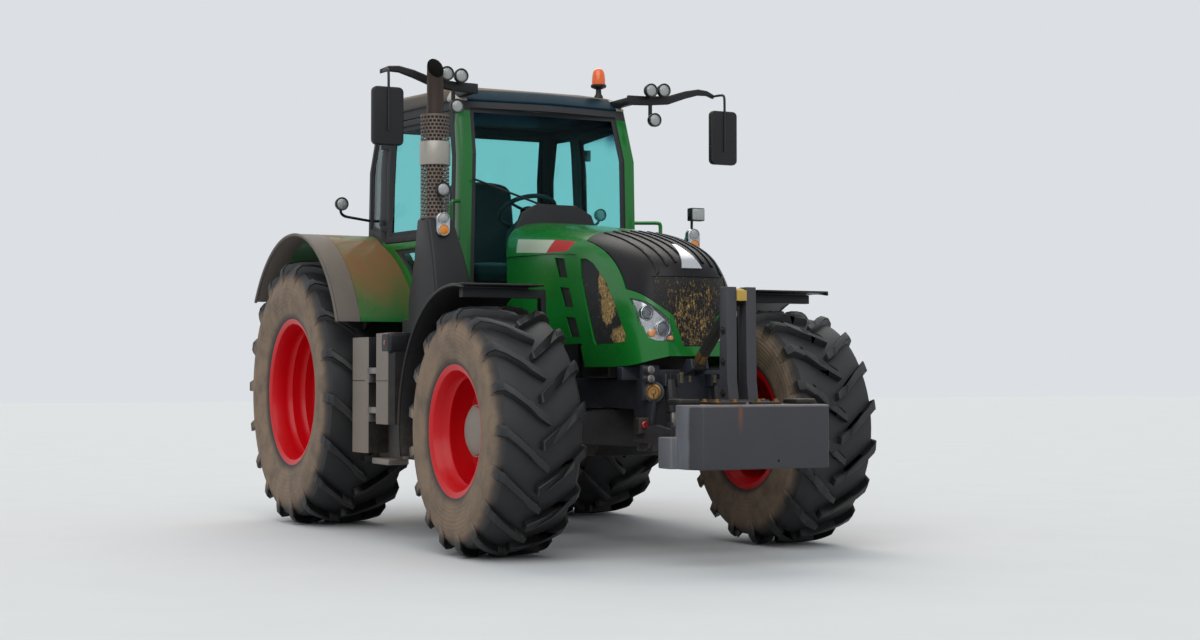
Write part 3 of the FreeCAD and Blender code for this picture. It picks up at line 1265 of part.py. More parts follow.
def rear_linkage():
    """Lower links, lift arms and rods, top link, drawbar hitch and power take-off."""
    back = d.housing_back
    half = d.housing_half
    gap = d.seat_gap
    link_y = d.lower_link_pivot_y
    link_z = d.lower_link_pivot_z
    inner = d.lower_link_in
    outer = d.lower_link_out
    width = d.link_width
    tip_y = d.rear_overhang - 50
    outline_bracket = [
        (link_y - 100, link_z - 55), (link_y - 100, link_z + 90), (link_y + 50, link_z + 60),
        (link_y + 50, link_z - 55)]
    brackets = [
        prism("link_bracket_in", "yz", outline_bracket, half, inner - width / 2 - gap),
        prism("link_bracket_out", "yz", outline_bracket, inner + width / 2 + gap,
              inner + width / 2 + gap + 25),
        box("link_tie", (half, inner + width / 2 + gap + 25), (link_y - 145, link_y - 95),
            (link_z - 55, link_z + 90))]
    hitch = [
        box("hitch_body", (-70, 70), (back, back + 60), (470, 690)),
        box("hitch_low_jaw", (-55, 55), (back + 50, back + 190), (470, 500)),
        box("hitch_high_jaw", (-55, 55), (back + 50, back + 190), (600, 630))]
    pin_hole = rod("hitch_hole", "z", (0, back + 135, 400), 400, d.hitch_bore)
    jaw = cut("hitch_jaws", fuse("hitch_jaw_block", hitch), [pin_hole])
    cover = box("rear_cover", (-150, 150), (back, back + 26), (640, 1020))
    shaft = rod("pto_shaft", "y", (0, back + 10, 800), d.pto_length + 16, d.pto_radius)
    top_pin_y = back + 60
    top_pin_z = 1000
    eye = 33
    cheeks = [prism("top_bracket_%d" % k, "yz", [
        (back + 10, top_pin_z - 50), (back + 10, top_pin_z + 20), (top_pin_y - 20, top_pin_z + 36),
        (top_pin_y + 30, top_pin_z + 25), (top_pin_y + 30, top_pin_z - 25),
        (back + 30, top_pin_z - 50)], low, low + 16) for k, low in enumerate((eye + gap, -eye - gap - 16))]
    fixed = fuse("hitch_and_cover", [jaw, cover, shaft] + cheeks)
    both_brackets = fuse("link_brackets", brackets)
    node("rear_hitch", fixed, both_brackets, mirrored(both_brackets))

    rod_out = half + d.lift_arm_width + d.lift_rod_width
    eye_y = link_y + 460
    eye_z = link_z + 30
    plan = [
        (inner - width / 2, link_y - 40), (inner + width / 2, link_y - 40),
        (inner + width / 2, link_y + 110), (outer + 20, tip_y - 90), (outer + 20, tip_y),
        (outer - 20, tip_y), (outer - 20, tip_y - 90), (inner - width / 2, link_y + 110)]
    bar = prism("lower_link_bar", "xy", plan, link_z - 35, link_z + 35)
    boss = box("lower_link_boss", (rod_out + gap, rod_out + 70), (eye_y - 35, eye_y + 35),
               (link_z - 35, eye_z + 32))
    ball = rod("lower_link_ball", "x", (outer - 22.5, tip_y, link_z), 45, 50)
    bore = rod("lower_link_bore", "x", (outer - 60, tip_y, link_z), 120, d.ball_bore)
    link = cut("lower_link", fuse("lower_link_block", [bar, boss, ball]), [bore])
    both_sides("lower_links", link)

    shaft_y = d.rockshaft_y
    shaft_z = d.rockshaft_z
    lug_y = shaft_y + 300
    lug_z = shaft_z + 100
    arm = prism("lift_arm", "yz", [
        (shaft_y - 60, shaft_z - 30), (shaft_y - 40, shaft_z + 60), (shaft_y + 40, shaft_z + 75),
        (lug_y + 28, lug_z + 30), (lug_y + 34, lug_z - 24), (lug_y - 20, lug_z - 34),
        (shaft_y + 60, shaft_z - 40), (shaft_y, shaft_z - 65)],
        half + gap, half + d.lift_arm_width)
    both_sides("lift_arms", arm)

    near = half + d.lift_arm_width + gap
    run = math.hypot(num(eye_y) - num(lug_y), num(lug_z) - num(eye_z))
    slope = math.degrees(math.atan2(num(lug_z) - num(eye_z), num(eye_y) - num(lug_y)))
    rod_bar = doc.addObject("Part::Box", "lift_rod_bar")
    bind(rod_bar, "Length", rod_out - near)
    rod_bar.Width = run
    rod_bar.Height = 40
    turn = Rotation(Vector(1, 0, 0), -slope)
    shift = turn.multVec(Vector(0, 0, -20))
    place(rod_bar, (near, lug_y + shift.y, lug_z + shift.z), turn)
    eyes = []
    for k, (y, z) in enumerate(((lug_y, lug_z), (eye_y, eye_z))):
        disc = doc.addObject("Part::Prism", "lift_rod_eye_%d" % k)
        disc.Polygon = 8
        disc.Circumradius = 30
        bind(disc, "Height", rod_out - near)
        eyes.append(place(disc, (near, y, z), AXIS_TURN["x"]))
    both_sides("lift_rods", fuse("lift_rod", [rod_bar] + eyes))

    reach = 620
    top_eye = doc.addObject("Part::Prism", "rear_top_link_eye")
    top_eye.Polygon = 8
    top_eye.Circumradius = 32
    top_eye.Height = 2 * eye
    place(top_eye, (-eye, top_pin_y, top_pin_z), AXIS_TURN["x"])
    top_bar = box("rear_top_link_bar", (-24, 24), (top_pin_y, top_pin_y + reach),
                  (top_pin_z - 24, top_pin_z + 24))
    top_ball = rod("rear_top_link_ball", "x", (-25.5, top_pin_y + reach, top_pin_z), 51, 40)
    top_hole = rod("rear_top_link_bore", "x", (-60, top_pin_y + reach, top_pin_z), 120, d.top_bore)
    node("rear_top_link", cut("rear_top_link_solid", fuse("rear_top_link_block",
         [top_eye, top_bar, top_ball]), [top_hole]))


def front_cylinders():
    """The pair of cylinders that carry the front lift arms."""
    x = d.front_cylinder_half
    pin_y = frame_face_y - 50
    pin_z = 1000
    foot_y = arm_pivot_y - d.cylinder_foot
    foot_z = d.front_arm_pivot_z + d.cylinder_foot_rise
    run = math.hypot(num(pin_y) - num(foot_y), pin_z - num(foot_z))
    lean = math.degrees(math.atan2(num(pin_y) - num(foot_y), pin_z - num(foot_z)))
    turn = Rotation(Vector(1, 0, 0), 180 - lean)

    def piece(name, sides, radius, start, end):
        bar = doc.addObject("Part::Prism", name)
        bar.Polygon = sides
        bind(bar, "Circumradius", radius)
        bar.Height = run * (end - start)
        shift = turn.multVec(Vector(0, 0, run * start))
        return place(bar, (x, pin_y + shift.y, pin_z + shift.z), turn)

    barrel = piece("cylinder_barrel", 10, d.cylinder_radius, 0, 0.7)
    bore = piece("cylinder_bore", 8, d.cylinder_rod_radius + 2.5, 0.08, 0.75)
    both_sides("front_cylinders", cut("cylinder_solid", barrel, [bore]))
    both_sides("front_rods", piece("cylinder_rod", 8, d.cylinder_rod_radius, 0.38, 1))


def lamps_and_rails(cab_solid):
    """Lamps beside the bonnet and on the fenders, and the grab rails."""
    x = -d.exhaust_x
    guard_front = -d.exhaust_y - d.exhaust_radius - d.seat_gap
    right_round = lamp_pod("right_round_lamp", x, guard_front - 64, 2174, 46, 64)
    shroud_low = -d.exhaust_y - 129.5 - d.seat_gap
    shroud_high = -d.exhaust_y - 85.7 - d.seat_gap
    right_pair = prism("right_lamp_pair", "yz", [
        (guard_front - 66, 1880), (shroud_low, 1880), (shroud_high, 2010), (shroud_high, 2040),
        (guard_front - 66, 2045)], x - 42, x + 42)
    corner_y = -d.screen_line
    foot_x = d.screen_half - 35
    foot = box("left_lamp_foot", (foot_x, d.screen_half + 12), (corner_y + 6, corner_y + 50),
               (1870, 1930))
    arm = strut("left_lamp_arm", (d.screen_half, corner_y + 25, 1900), (850, -1840, 1900), 14)
    left_pair = box("left_lamp_pair", (838, 922), (-1890, -1820), (1840, 1990))
    post = box("left_lamp_post", (870, 890), (-1860, -1840), (1985, 2045))
    square = box("left_square_lamp", (845, 945), (-1915, -1850), (2040, 2125))
    left_block = fuse("left_lamps_block", [foot, arm, left_pair, post, square])
    left_lamps = cut("left_lamps", left_block, [cab_solid])

    corner = d.tail_half - d.waist_tuck
    fender_arm = strut("fender_lamp_arm", (corner - 10, -d.tail_line - 25, 2110),
                       (1000, -300, 2125), 11)
    fender_post = box("fender_lamp_post", (992, 1008), (-308, -270), (2120, 2165))
    fender_pod = lamp_pod("fender_lamp", 1000, -330, 2200, 46, 60)
    fender_block = fuse("fender_lamp_block", [fender_arm, fender_post, fender_pod])
    fender_lamp = cut("fender_lamps", fender_block, [cab_solid])
    skin_z = 1560
    skin_y = fender_y + root(d.fender_radius * d.fender_radius
                             - (skin_z - fender_z) * (skin_z - fender_z))
    tail = box("tail_lamp", (960, 1170), (skin_y - 20, skin_y + 36), (skin_z - 90, skin_z - d.seat_gap))
    node("road_lamps", right_round, right_pair, left_lamps, fender_lamp, mirrored(fender_lamp),
         tail, mirrored(tail))

    left = [(foot_x, corner_y + 25, 2045), (790, -1590, 2045), (790, -1590, 1560),
            (foot_x, corner_y + 25, 1560)]
    rails = [strut("left_rail_%d" % k, left[k], left[k + 1], 13) for k in range(3)]
    joints = [box("left_rail_corner_%d" % k, (777, 803), (-1603, -1577), (z - 13, z + 13))
              for k, z in enumerate((2045, 1560))]
    right_x = -d.screen_half - 40
    right_y = corner_y + 25
    upright = box("right_rail_bar", (right_x - 12, right_x + 12), (right_y - 12, right_y + 12),
                  (1880, 2160))
    stubs = [box("right_rail_stub_%d" % k, (right_x, -foot_x), (right_y - 10, right_y + 10),
                 (z - 10, z + 10)) for k, z in enumerate((1900, 2140))]
    node("grab_rails", cut("left_rail", fuse("left_rail_block", rails + joints), [cab_solid]),
         cut("right_rail", fuse("right_rail_block", [upright] + stubs), [cab_solid]))


chassis()
axles()
wheels()
fenders()
cab_solid, roof_solid = cab()
hood()
flanks()
interior()
cowl_and_wiper()
roof_gear(roof_solid)
front_linkage()
front_cylinders()
rear_linkage()
lamps_and_rails(cab_solid)

doc.recompute()

for thing in doc.Objects:
    for state in ("Invalid", "Error"):
        if state in thing.State:
            raise RuntimeError("%s is in state %s" % (thing.Name, thing.State))
os.makedirs("parts", exist_ok=True)
for group in NODES:
    if group.Shape.isNull() or not group.Shape.isValid() or not group.Shape.Solids:
        raise RuntimeError("%s has no valid solid" % group.Label)
for group in NODES:
    group.Shape.exportStep("parts/%s.step" % group.Label)
    bounds = group.Shape.BoundBox
    print("%-20s %2d solids %8.4f m3  x %6.0f %6.0f  y %6.0f %6.0f  z %6.0f %6.0f" % (
        group.Label, len(group.Shape.Solids), group.Shape.Volume / 1e9, bounds.XMin, bounds.XMax,
        bounds.YMin, bounds.YMax, bounds.ZMin, bounds.ZMax))
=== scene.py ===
# %% [markdown]
# # Green farm tractor with cab and front ballast
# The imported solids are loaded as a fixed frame.  Everything after that dresses them: smooth
# sheet metal, treaded tyres, lamps, glass and the dust of a day in the field.  Lengths are in
# metres, x points to the tractor's left, y to its rear and z up.

# %%
import json
import math

import bmesh
import bpy
from mathutils import Matrix, Vector
from mathutils.bvhtree import BVHTree


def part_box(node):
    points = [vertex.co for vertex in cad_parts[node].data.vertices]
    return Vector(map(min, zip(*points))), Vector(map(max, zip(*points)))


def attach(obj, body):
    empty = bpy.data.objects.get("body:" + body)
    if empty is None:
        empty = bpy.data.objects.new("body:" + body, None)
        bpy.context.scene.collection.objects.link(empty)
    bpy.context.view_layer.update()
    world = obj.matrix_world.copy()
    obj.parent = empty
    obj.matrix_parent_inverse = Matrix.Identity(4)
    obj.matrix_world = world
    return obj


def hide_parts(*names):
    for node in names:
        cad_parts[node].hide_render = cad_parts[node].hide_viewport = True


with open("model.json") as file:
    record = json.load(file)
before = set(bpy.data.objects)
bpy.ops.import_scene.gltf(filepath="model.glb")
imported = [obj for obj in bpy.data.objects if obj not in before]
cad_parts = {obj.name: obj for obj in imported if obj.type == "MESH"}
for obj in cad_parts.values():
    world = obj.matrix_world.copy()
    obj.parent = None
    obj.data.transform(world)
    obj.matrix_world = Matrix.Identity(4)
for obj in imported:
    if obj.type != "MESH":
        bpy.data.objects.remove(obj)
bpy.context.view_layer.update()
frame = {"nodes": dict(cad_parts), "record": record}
scene = bpy.context.scene
scene.view_settings.view_transform = "Standard"

# %% [markdown]
# ## Measures from the frame
# The solids already say where everything is, so nothing is measured twice.  Every place below
# counts from the rear axle, as a workshop drawing of a tractor does: the axle is the one thing
# that stays put when a drawing is stretched.

# %%
def extent(node):
    """Lowest and highest corner of a solid at rest."""
    low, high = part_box(node)
    return Vector(low), Vector(high)


def middle(node):
    """Centre of a solid's box."""
    low, high = extent(node)
    return (low + high) / 2


axle_y = middle("left_rear_rim").y
body_of = {}
for body, members in frame["record"]["behaviour"]["bodies"].items():
    for member in members:
        body_of[member] = body


def at(x, y, z):
    """A point given by its distance behind the rear axle."""
    return Vector((x, axle_y + y, z))


print("rear axle at y", round(axle_y, 4), "front axle at y", round(middle("left_front_rim").y, 4))

# %% [markdown]
# ## Materials as short formulas
# A finish is a stack of masks: where dust settles, where paint has worn, where rain ran down.
# It could be wired by hand in the shader editor.  Written as sums of signals, each mask stays one
# readable line, and numbers and sockets can be mixed in it.

# %%
class Signal:
    """A number or colour inside a material, combined with ordinary signs."""

    def __init__(self, net, socket):
        self.net = net
        self.socket = socket


def signed(operation, reflected):
    """The method behind one sign; the reflected form has a plain number on its left."""
    def method(self, other):
        return self.net.math(operation, *((other, self) if reflected else (self, other)))
    return method


for sign, operation in (("add", "ADD"), ("sub", "SUBTRACT"), ("mul", "MULTIPLY"),
                        ("truediv", "DIVIDE")):
    setattr(Signal, "__%s__" % sign, signed(operation, False))
    setattr(Signal, "__r%s__" % sign, signed(operation, True))


def rgb(code):
    """A colour written as on screen, as the renderer's linear numbers."""
    parts = [int(code[k:k + 2], 16) / 255 for k in (0, 2, 4)]
    return tuple(v / 12.92 if v <= 0.04045 else ((v + 0.055) / 1.055) ** 2.4 for v in parts) + (1,)


class Net:
    """The nodes of one material, or of another owner such as the world."""

    def __init__(self, name, owner=None):
        self.owner = owner or bpy.data.materials.new(name)
        self.owner.use_nodes = True
        self.tree = self.owner.node_tree
        self.tree.nodes.clear()
        if not owner:
            self.coords = self.add("ShaderNodeTexCoord", out="Object")

    def add(self, kind, settings=None, inputs=None, out=0):
        """One node: its settings first, then its inputs, by number or link."""
        node = self.tree.nodes.new(kind)
        for key, value in (settings or {}).items():
            setattr(node, key, value)
        for key, value in (inputs or {}).items():
            if isinstance(value, Signal):
                self.tree.links.new(value.socket, node.inputs[key])
            else:
                node.inputs[key].default_value = value
        return Signal(self, node.outputs[out]) if node.outputs else None

    def math(self, operation, *values):
        """A sum on numbers, by the name of its operation."""
        return self.add("ShaderNodeMath", {"operation": operation}, dict(enumerate(values)))

    def noise(self, scale, detail=4, rough=0.6, stretch=(1, 1, 1)):
        """Cloudy noise round 0.5, drawn out along an axis where stretch is below 1."""
        spread = self.add("ShaderNodeVectorMath", {"operation": "MULTIPLY"},
                          {0: self.coords, 1: stretch})
        return self.add("ShaderNodeTexNoise", {},
                        {"Vector": spread, "Scale": scale, "Detail": detail, "Roughness": rough})

    def step(self, value, low, high):
        """0 below low, 1 above high, smooth between."""
        return self.add("ShaderNodeMapRange", {"interpolation_type": "SMOOTHSTEP"},
                        {"Value": value, "From Min": low, "From Max": high})

    def part(self, axis):
        """One coordinate of the point."""
        return self.add("ShaderNodeSeparateXYZ", {}, {0: self.coords}, "XYZ".index(axis))

    def upward(self):
        """How far the surface faces up."""
        normal = self.add("ShaderNodeNewGeometry", out="Normal")
        return self.add("ShaderNodeSeparateXYZ", {}, {0: normal}, 2)

    def mix(self, factor, *pair):
        """From one colour to the other; a colour may be written as its code."""
        first, second = (rgb(colour) if isinstance(colour, str) else colour for colour in pair)
        return self.add("ShaderNodeMix", {"data_type": "RGBA"}, {0: factor, 6: first, 7: second}, 2)

    def bump(self, height, distance):
        return self.add("ShaderNodeBump", {}, {"Height": height, "Distance": distance})

    def surface(self, varying, **fixed):
        """The shader: varying inputs linked, the others as plain numbers."""
        inputs = {key.replace("_", " "): value for key, value in fixed.items()}
        shader = self.add("ShaderNodeBsdfPrincipled", {}, inputs | varying, "BSDF")
        self.add("ShaderNodeOutputMaterial", {}, {"Surface": shader})
        return self.owner


print("signals combine with + - * /")

# %% [markdown]
# ## One recipe for painted and moulded surfaces
# A field tractor's paint, plastic and castings share one story: a clean colour, a worn one where
# hands and twigs rub, and dust that lies on top and splashes up from below.  A recipe per finish
# would repeat that story forty times.  One function tells it, and each finish is a line of
# colours and numbers.

# %%
DUST = "8f7a5e"


def dusty(name, clean, worn, roughness, dust=0.4, low=0.5, grain=220, metal=0.0, coat=0.0,
          relief=0.0003, dust_colour=DUST, shine=0.35, index=1.5):
    """Dust and low are how much of it lies on top and near the ground; grain is the bump's."""
    net = Net(name)
    cloud = net.noise(2.3, 8)
    fine = net.noise(grain, 3)
    wear = net.step(net.noise(9, 10, 0.7), 0.56, 0.74)
    low_down = (1 - net.step(net.part("Z"), 0.3, 1.6)) * low
    top = net.step(net.upward(), 0.15, 0.95) * dust
    patchy = net.step(cloud * 0.7 + net.noise(38, 6, 0.7) * 0.3, 0.33, 0.66)
    cover = net.step((top + low_down + 0.06) * (patchy * 0.85 + 0.25), 0.0, 1.0)
    colour = net.mix(cloud * 0.5 + wear * 0.35, clean, worn)
    colour = net.mix(cover, colour, dust_colour)
    rough = roughness + cover * (0.9 - roughness) + (fine - 0.5) * 0.12
    return net.surface({"Base Color": colour, "Roughness": rough,
                        "Normal": net.bump(fine + wear * 0.3, relief)},
                       Metallic=metal, Coat_Weight=coat, Coat_Roughness=0.12,
                       Specular_IOR_Level=shine, IOR=index)


materials = {
    "green": dusty("green_paint", "0e7227", "0a571d", 0.26, 0.03, 0.06, 300, coat=0.22,
                   relief=0.00005),
    "green_dusty": dusty("green_paint_dusty", "12682a", "155226", 0.4, 1.0, 0.2, 200, coat=0.1,
                         relief=0.0001, dust_colour="7c5a36"),
    "plastic": dusty("black_plastic", "121316", "1b1c1f", 0.46, 0.22, 0.22, 500),
    "nose_black": dusty("nose_black", "0b0c11", "14151a", 0.38, 0.04, 0.0, 400, relief=0.0001,
                        shine=0.2),
    "plastic_dusty": dusty("grey_plastic_dusty", "5d5650", "6b635b", 0.6, 0.3, 0.4, 420),
    "column": dusty("step_columns", "7b726a", "6a625b", 0.55, 0.25, 0.3, 420),
    "roof": dusty("roof_shell", "3d3a36", "4d463d", 0.5, 0.9, 0.0, 300, dust_colour="7c6446"),
    "visor": dusty("roof_visor", "0d2a38", "12323f", 0.3, 0.08, 0.0, 300, relief=0.0001,
                   shine=0.1, index=1.12),
    "cap": dusty("roof_corner", "b9b7b0", "9c9488", 0.45, 0.3, 0.0, 300),
    "iron": dusty("dark_castings", "191b20", "131518", 0.5, 0.14, 0.12, 260, 0.1),
    "frame": dusty("frame_plates", "262b34", "343942", 0.42, 0.22, 0.2, 260, 0.15),
    "red": dusty("red_rim", "c8000f", "a8000d", 0.34, 0.03, 0.04, 260, coat=0.08, relief=0.0001,
                 shine=0.25),
    "hub": dusty("hub_cap", "8f8a83", "77716a", 0.5, 0.3, 0.3, 260, 0.3),
    "steel": dusty("worn_steel", "8b8a88", "6f6257", 0.35, 0.25, 0.25, 300, 0.85),
    "brass": dusty("brass_ends", "8e6b3c", "6f5230", 0.4, 0.2, 0.2, 300, 0.7),
    "fitting": dusty("dull_fittings", "5b4f40", "3f3a33", 0.45, 0.2, 0.2, 300, 0.5),
    "pipe": dusty("exhaust_pipe", "3f332d", "2c2421", 0.5, 0.15, 0.0, 200, 0.4),
    "soot": dusty("exhaust_soot", "070707", "0d0c0b", 0.9, 0.0, 0.0, 200),
    "guard": dusty("exhaust_guard", "6e625a", "54493f", 0.5, 0.15, 0.0, 200, 0.3),
    "plate": dusty("pale_plate", "a9a49b", "8d877f", 0.35, 0.2, 0.0, 260, 0.3),
    "silver": dusty("silver_patch", "c4c7cb", "9ea1a6", 0.25, 0.1, 0.0, 260, 0.7),
    "band": dusty("pale_band", "b6c2ab", "97a68e", 0.3, 0.08, 0.0, 260, coat=0.5),
    "band_red": dusty("red_band", "b8252b", "9c2024", 0.4, 0.15, 0.0, 260),
    "orange": dusty("orange_lens", "f2660c", "d8550a", 0.18, 0.1, 0.0, 90, coat=0.8),
    "amber": dusty("amber_lens", "e58a24", "cf7416", 0.2, 0.1, 0.0, 90, coat=0.8),
    "tail_red": dusty("red_lens", "8e1016", "6e0c10", 0.2, 0.1, 0.0, 90, coat=0.8),
    "catch": dusty("yellow_catch", "c2a04a", "8d7440", 0.5, 0.3, 0.0, 300),
    "hose": dusty("hose_rubber", "141414", "1f1e1d", 0.55, 0.3, 0.3, 700),
    "trim": dusty("cab_trim", "2c2d30", "37383b", 0.7, 0.2, 0.0, 600),
}
print(len(materials), "dusty finishes")

# %% [markdown]
# ## Tyre rubber
# Mud dries tan on a tyre's sidewall and is scrubbed off the tread.  That pattern follows the
# wheel, not the ground, so the tyre's mesh carries an attribute, reach: 0 at the bead, 1 at the
# tread's tip.

# %%
def rubber():
    """Black tread, tan dust caked on the sidewalls, thin on the lugs' faces."""
    net = Net("tyre_rubber")
    reach = net.add("ShaderNodeAttribute", {"attribute_name": "reach"}, out="Fac")
    cloud = net.noise(7, 8, 0.65)
    fine = net.noise(160, 4)
    wall = net.step(reach, 0.02, 0.2) * (1 - net.step(reach, 0.62, 0.86))
    rings = net.math("SINE", reach * 95.0)
    tips = net.step(reach, 0.955, 1.0)
    cover = wall * (0.72 + (cloud - 0.5) * 1.3) + tips * 0.10 * cloud + 0.03
    colour = net.mix(cloud, "141517", "222224")
    colour = net.mix(net.step(cover, 0.0, 1.05), colour, "84705c")
    return net.surface({"Base Color": colour, "Roughness": 0.55 + cover * 0.35,
                        "Normal": net.bump(fine * 0.5 + rings * wall * 0.35 + cloud, 0.0016)})


materials["rubber"] = rubber()
print("tyre rubber mixed")

# %% [markdown]
# ## Glass, lamps and mirrors
# Clear and shiny things differ in little: a base, a film of dirt that dulls it, and how it passes
# or throws back light.  Real transmission is used only for the panes, because a lamp's thin
# cover looks the same with a low alpha, which renders sooner.

# %%
def cab_glass():
    """Tinted panes: nearly clear, a darker band under the roof, a film of dust."""
    net = Net("cab_glass")
    film = net.step(net.noise(3, 8, 0.7), 0.4, 0.85)
    band = net.step(net.part("Z"), 2.52, 2.72) * (1 - net.step(net.part("Y"), 0.3, 0.5))
    low = 1 - net.step(net.part("Z"), 1.45, 2.1)
    colour = net.mix(band, "b4eaea", "1f5f80")
    colour = net.mix(film * 0.10 + low * 0.10, colour, "a9a68c")
    return net.surface({"Base Color": colour, "Roughness": 0.01 + film * 0.03},
                       Transmission_Weight=1.0, IOR=1.12)


def clear_cover():
    """The clear cover of a lamp."""
    net = Net("lamp_cover")
    film = net.step(net.noise(25, 6, 0.7), 0.45, 0.8)
    return net.surface({"Base Color": net.mix(film, "dfe6ea", "a89c86"),
                        "Roughness": 0.04 + film * 0.2, "Alpha": 0.05 + film * 0.08}, IOR=1.45,
                       Specular_IOR_Level=0.3)


def lens():
    """Ribbed glass over a bright reflector."""
    net = Net("lamp_lens")
    ribs = net.add("ShaderNodeTexWave", {"bands_direction": "X"},
                   {"Vector": net.coords, "Scale": 34.0, "Distortion": 0.4})
    film = net.noise(30, 6)
    return net.surface({"Base Color": net.mix(film * 0.6, "a8acac", "77756e"),
                        "Roughness": 0.12 + film * 0.15, "Normal": net.bump(ribs, 0.0012)},
                       Metallic=0.3, Coat_Weight=0.8, Coat_Roughness=0.05)


def bulb():
    """A projector's glass ball: dark, bluish and very smooth."""
    net = Net("projector_glass")
    film = net.step(net.noise(40, 4), 0.4, 0.8)
    return net.surface({"Base Color": net.mix(film * 0.4, "2c3a4c", "8f8d84"),
                        "Roughness": 0.05 + film * 0.1}, Metallic=0.4, Coat_Weight=0.8)


def silvered(name, film_noise, edges, clean, dirty, rough, dulled):
    """Polished metal or a mirror, with a film of dust that dulls it."""
    net = Net(name)
    film = net.step(net.noise(*film_noise, 0.7), *edges)
    return net.surface({"Base Color": net.mix(film, clean, dirty),
                        "Roughness": rough + film * dulled}, Metallic=1.0)


materials |= {
    "glass": cab_glass(), "cover": clear_cover(), "lens": lens(), "bulb": bulb(),
    "chrome": silvered("chrome", (16, 8), (0.4, 0.8), "b9bcc0", "6f6a62", 0.1, 0.25),
    "mirror": silvered("mirror_glass", (18, 6), (0.5, 0.85), "d5dadd", "a39a8a", 0.03, 0.3),
}
print(len(materials), "finishes so far")

# %% [markdown]
# ## Ballast, meshes and seat cloth
# The last finishes are surfaces of their own: a painted casting whose edges are lighter, partly as
# rubbed paint and partly as a painted highlight, punched sheet with chaff in its holes, and woven
# cloth.  Holes of a few millimetres could be cut in the mesh, but thousands of them would only
# flicker at this distance, so a pattern draws them, in a darker colour that is painted shade.

# %%
def ballast_paint():
    """Rough cast block, painted grey, rust running down from the edges."""
    net = Net("ballast_paint")
    cloud = net.noise(5, 8)
    runs = net.step(net.noise(11, 6, 0.7, (1, 1, 0.12)), 0.6, 0.7)
    spots = net.step(net.noise(24, 6, 0.75), 0.66, 0.72)
    cast = net.noise(70, 5, 0.7)
    height = net.part("Z")
    dust = net.step(net.upward(), 0.3, 0.95) * 0.7 * net.step(cloud, 0.35, 0.6)
    # corner and edge mark the block's side and top edges, lightened below: partly rubbed paint, partly a
    # painted highlight along the rounds
    corner = net.step(net.math("ABSOLUTE", net.part("X")), 0.418, 0.436)
    corner = corner + net.step(height, 0.852, 0.866)
    edge = net.step(corner * (cloud + 0.35), 0.3, 0.9) * (1 - net.step(height, 0.872, 0.9))
    beside = net.math("ABSOLUTE", net.part("X") + 0.165)
    streak = (1 - net.step(beside, 0.004, 0.020)) * net.step(height, 0.68, 0.84) * cloud * 1.3
    colour = net.mix(cloud, "2a2a2f", "37363b")
    # 83868c on the edges is a painted highlight where the rounds catch light, together with some rubbed
    # paint
    colour = net.mix(edge * 0.45, colour, "83868c")
    colour = net.mix(runs * 0.25 + spots * 0.4 + streak, colour, "6a3f28")
    colour = net.mix(dust, colour, DUST)
    return net.surface({"Base Color": colour, "Roughness": 0.55 + dust * 0.3 + spots * 0.2,
                        "Normal": net.bump(cast + spots * 0.4, 0.0016)})


def mesh_grille(name, pitch, bar, hole, heaps=()):
    """Punched black sheet: slots in staggered rows, straw caught where the heaps are.
    A heap is a place and a half size in y and z."""
    net = Net(name)
    turn = 6.2832 / pitch
    rows = net.math("SINE", net.part("Z") * turn)
    lines = net.part("Y") + net.part("X") * 0.8 + net.part("Z") * 0.4
    columns = net.math("SINE", lines * (turn * 0.8))
    # slot is where the holes are; they are painted darker than the sheet, a painted shade of the dark
    # space behind them
    slot = net.step(rows * columns, 0.05, 0.35) + net.step(rows * columns * -1.0, 0.05, 0.35)
    near = 0.0
    for place_y, place_z, half_y, half_z in heaps:
        away_y = (net.part("Y") - (axle_y + place_y)) / half_y
        away_z = (net.part("Z") - place_z) / half_z
        near = near + net.step(away_y * away_y + away_z * away_z, 1.5, 0.2)
    lumps = net.noise(30, 8, 0.85, (1, 1, 0.7))
    fibres = net.noise(85, 6, 0.95, (1, 1, 0.6))
    chaff = net.step(lumps * 1.4 + fibres * 0.7 + near * 0.40, 1.22, 1.28)
    ripe = net.step(fibres, 0.44, 0.58)
    colour = net.mix(chaff, net.mix(slot, bar, hole), net.mix(ripe, "5e431f", "e8c47c"))
    return net.surface({"Base Color": colour, "Roughness": 0.5 + chaff * 0.4,
                        "Normal": net.bump(chaff * 0.6 - slot, 0.004)})


def nose_mesh():
    """Fine black mesh; chaff hangs in it as upright flecks, thickest in the middle of the V."""
    net = Net("nose_mesh")
    pattern = net.math("SINE", net.part("Z") * 520.0) * net.math("SINE", net.part("X") * 520.0)
    centre = 1 - net.step(net.math("ABSOLUTE", net.part("X")), 0.08, 0.20)
    below = 1 - net.step(net.part("Z"), 1.46, 1.62)
    flecks = net.noise(105, 5, 0.85, (1, 1, 0.34))
    clumps = net.noise(16, 5, 0.75)
    chaff = net.step(flecks + clumps * 0.25 + centre * below * 0.065, 0.70, 0.75)
    ripe = net.step(net.noise(240, 3), 0.35, 0.65)
    # the near-black 040404 between the wires is painted shade, seen through the mesh's holes
    colour = net.mix(net.step(pattern, 0.0, 0.4), "17181b", "040404")
    colour = net.mix(chaff, colour, net.mix(ripe, "382917", "c9a566"))
    return net.surface({"Base Color": colour, "Roughness": 0.45 + chaff * 0.4,
                        "Normal": net.bump(chaff + pattern * 0.2, 0.003)}, Specular_IOR_Level=0.25)


def cloth():
    """Woven seat cloth."""
    net = Net("seat_cloth")
    weave = net.add("ShaderNodeTexWave", {"bands_direction": "DIAGONAL"},
                    {"Vector": net.coords, "Scale": 160.0, "Distortion": 1.5})
    cloud = net.noise(8, 6)
    return net.surface({"Base Color": net.mix(weave * 0.4 + cloud * 0.4, "26272b", "3a3c42"),
                        "Roughness": 0.85 + cloud * 0.1, "Normal": net.bump(weave, 0.0006)},
                       Sheen_Weight=0.3)


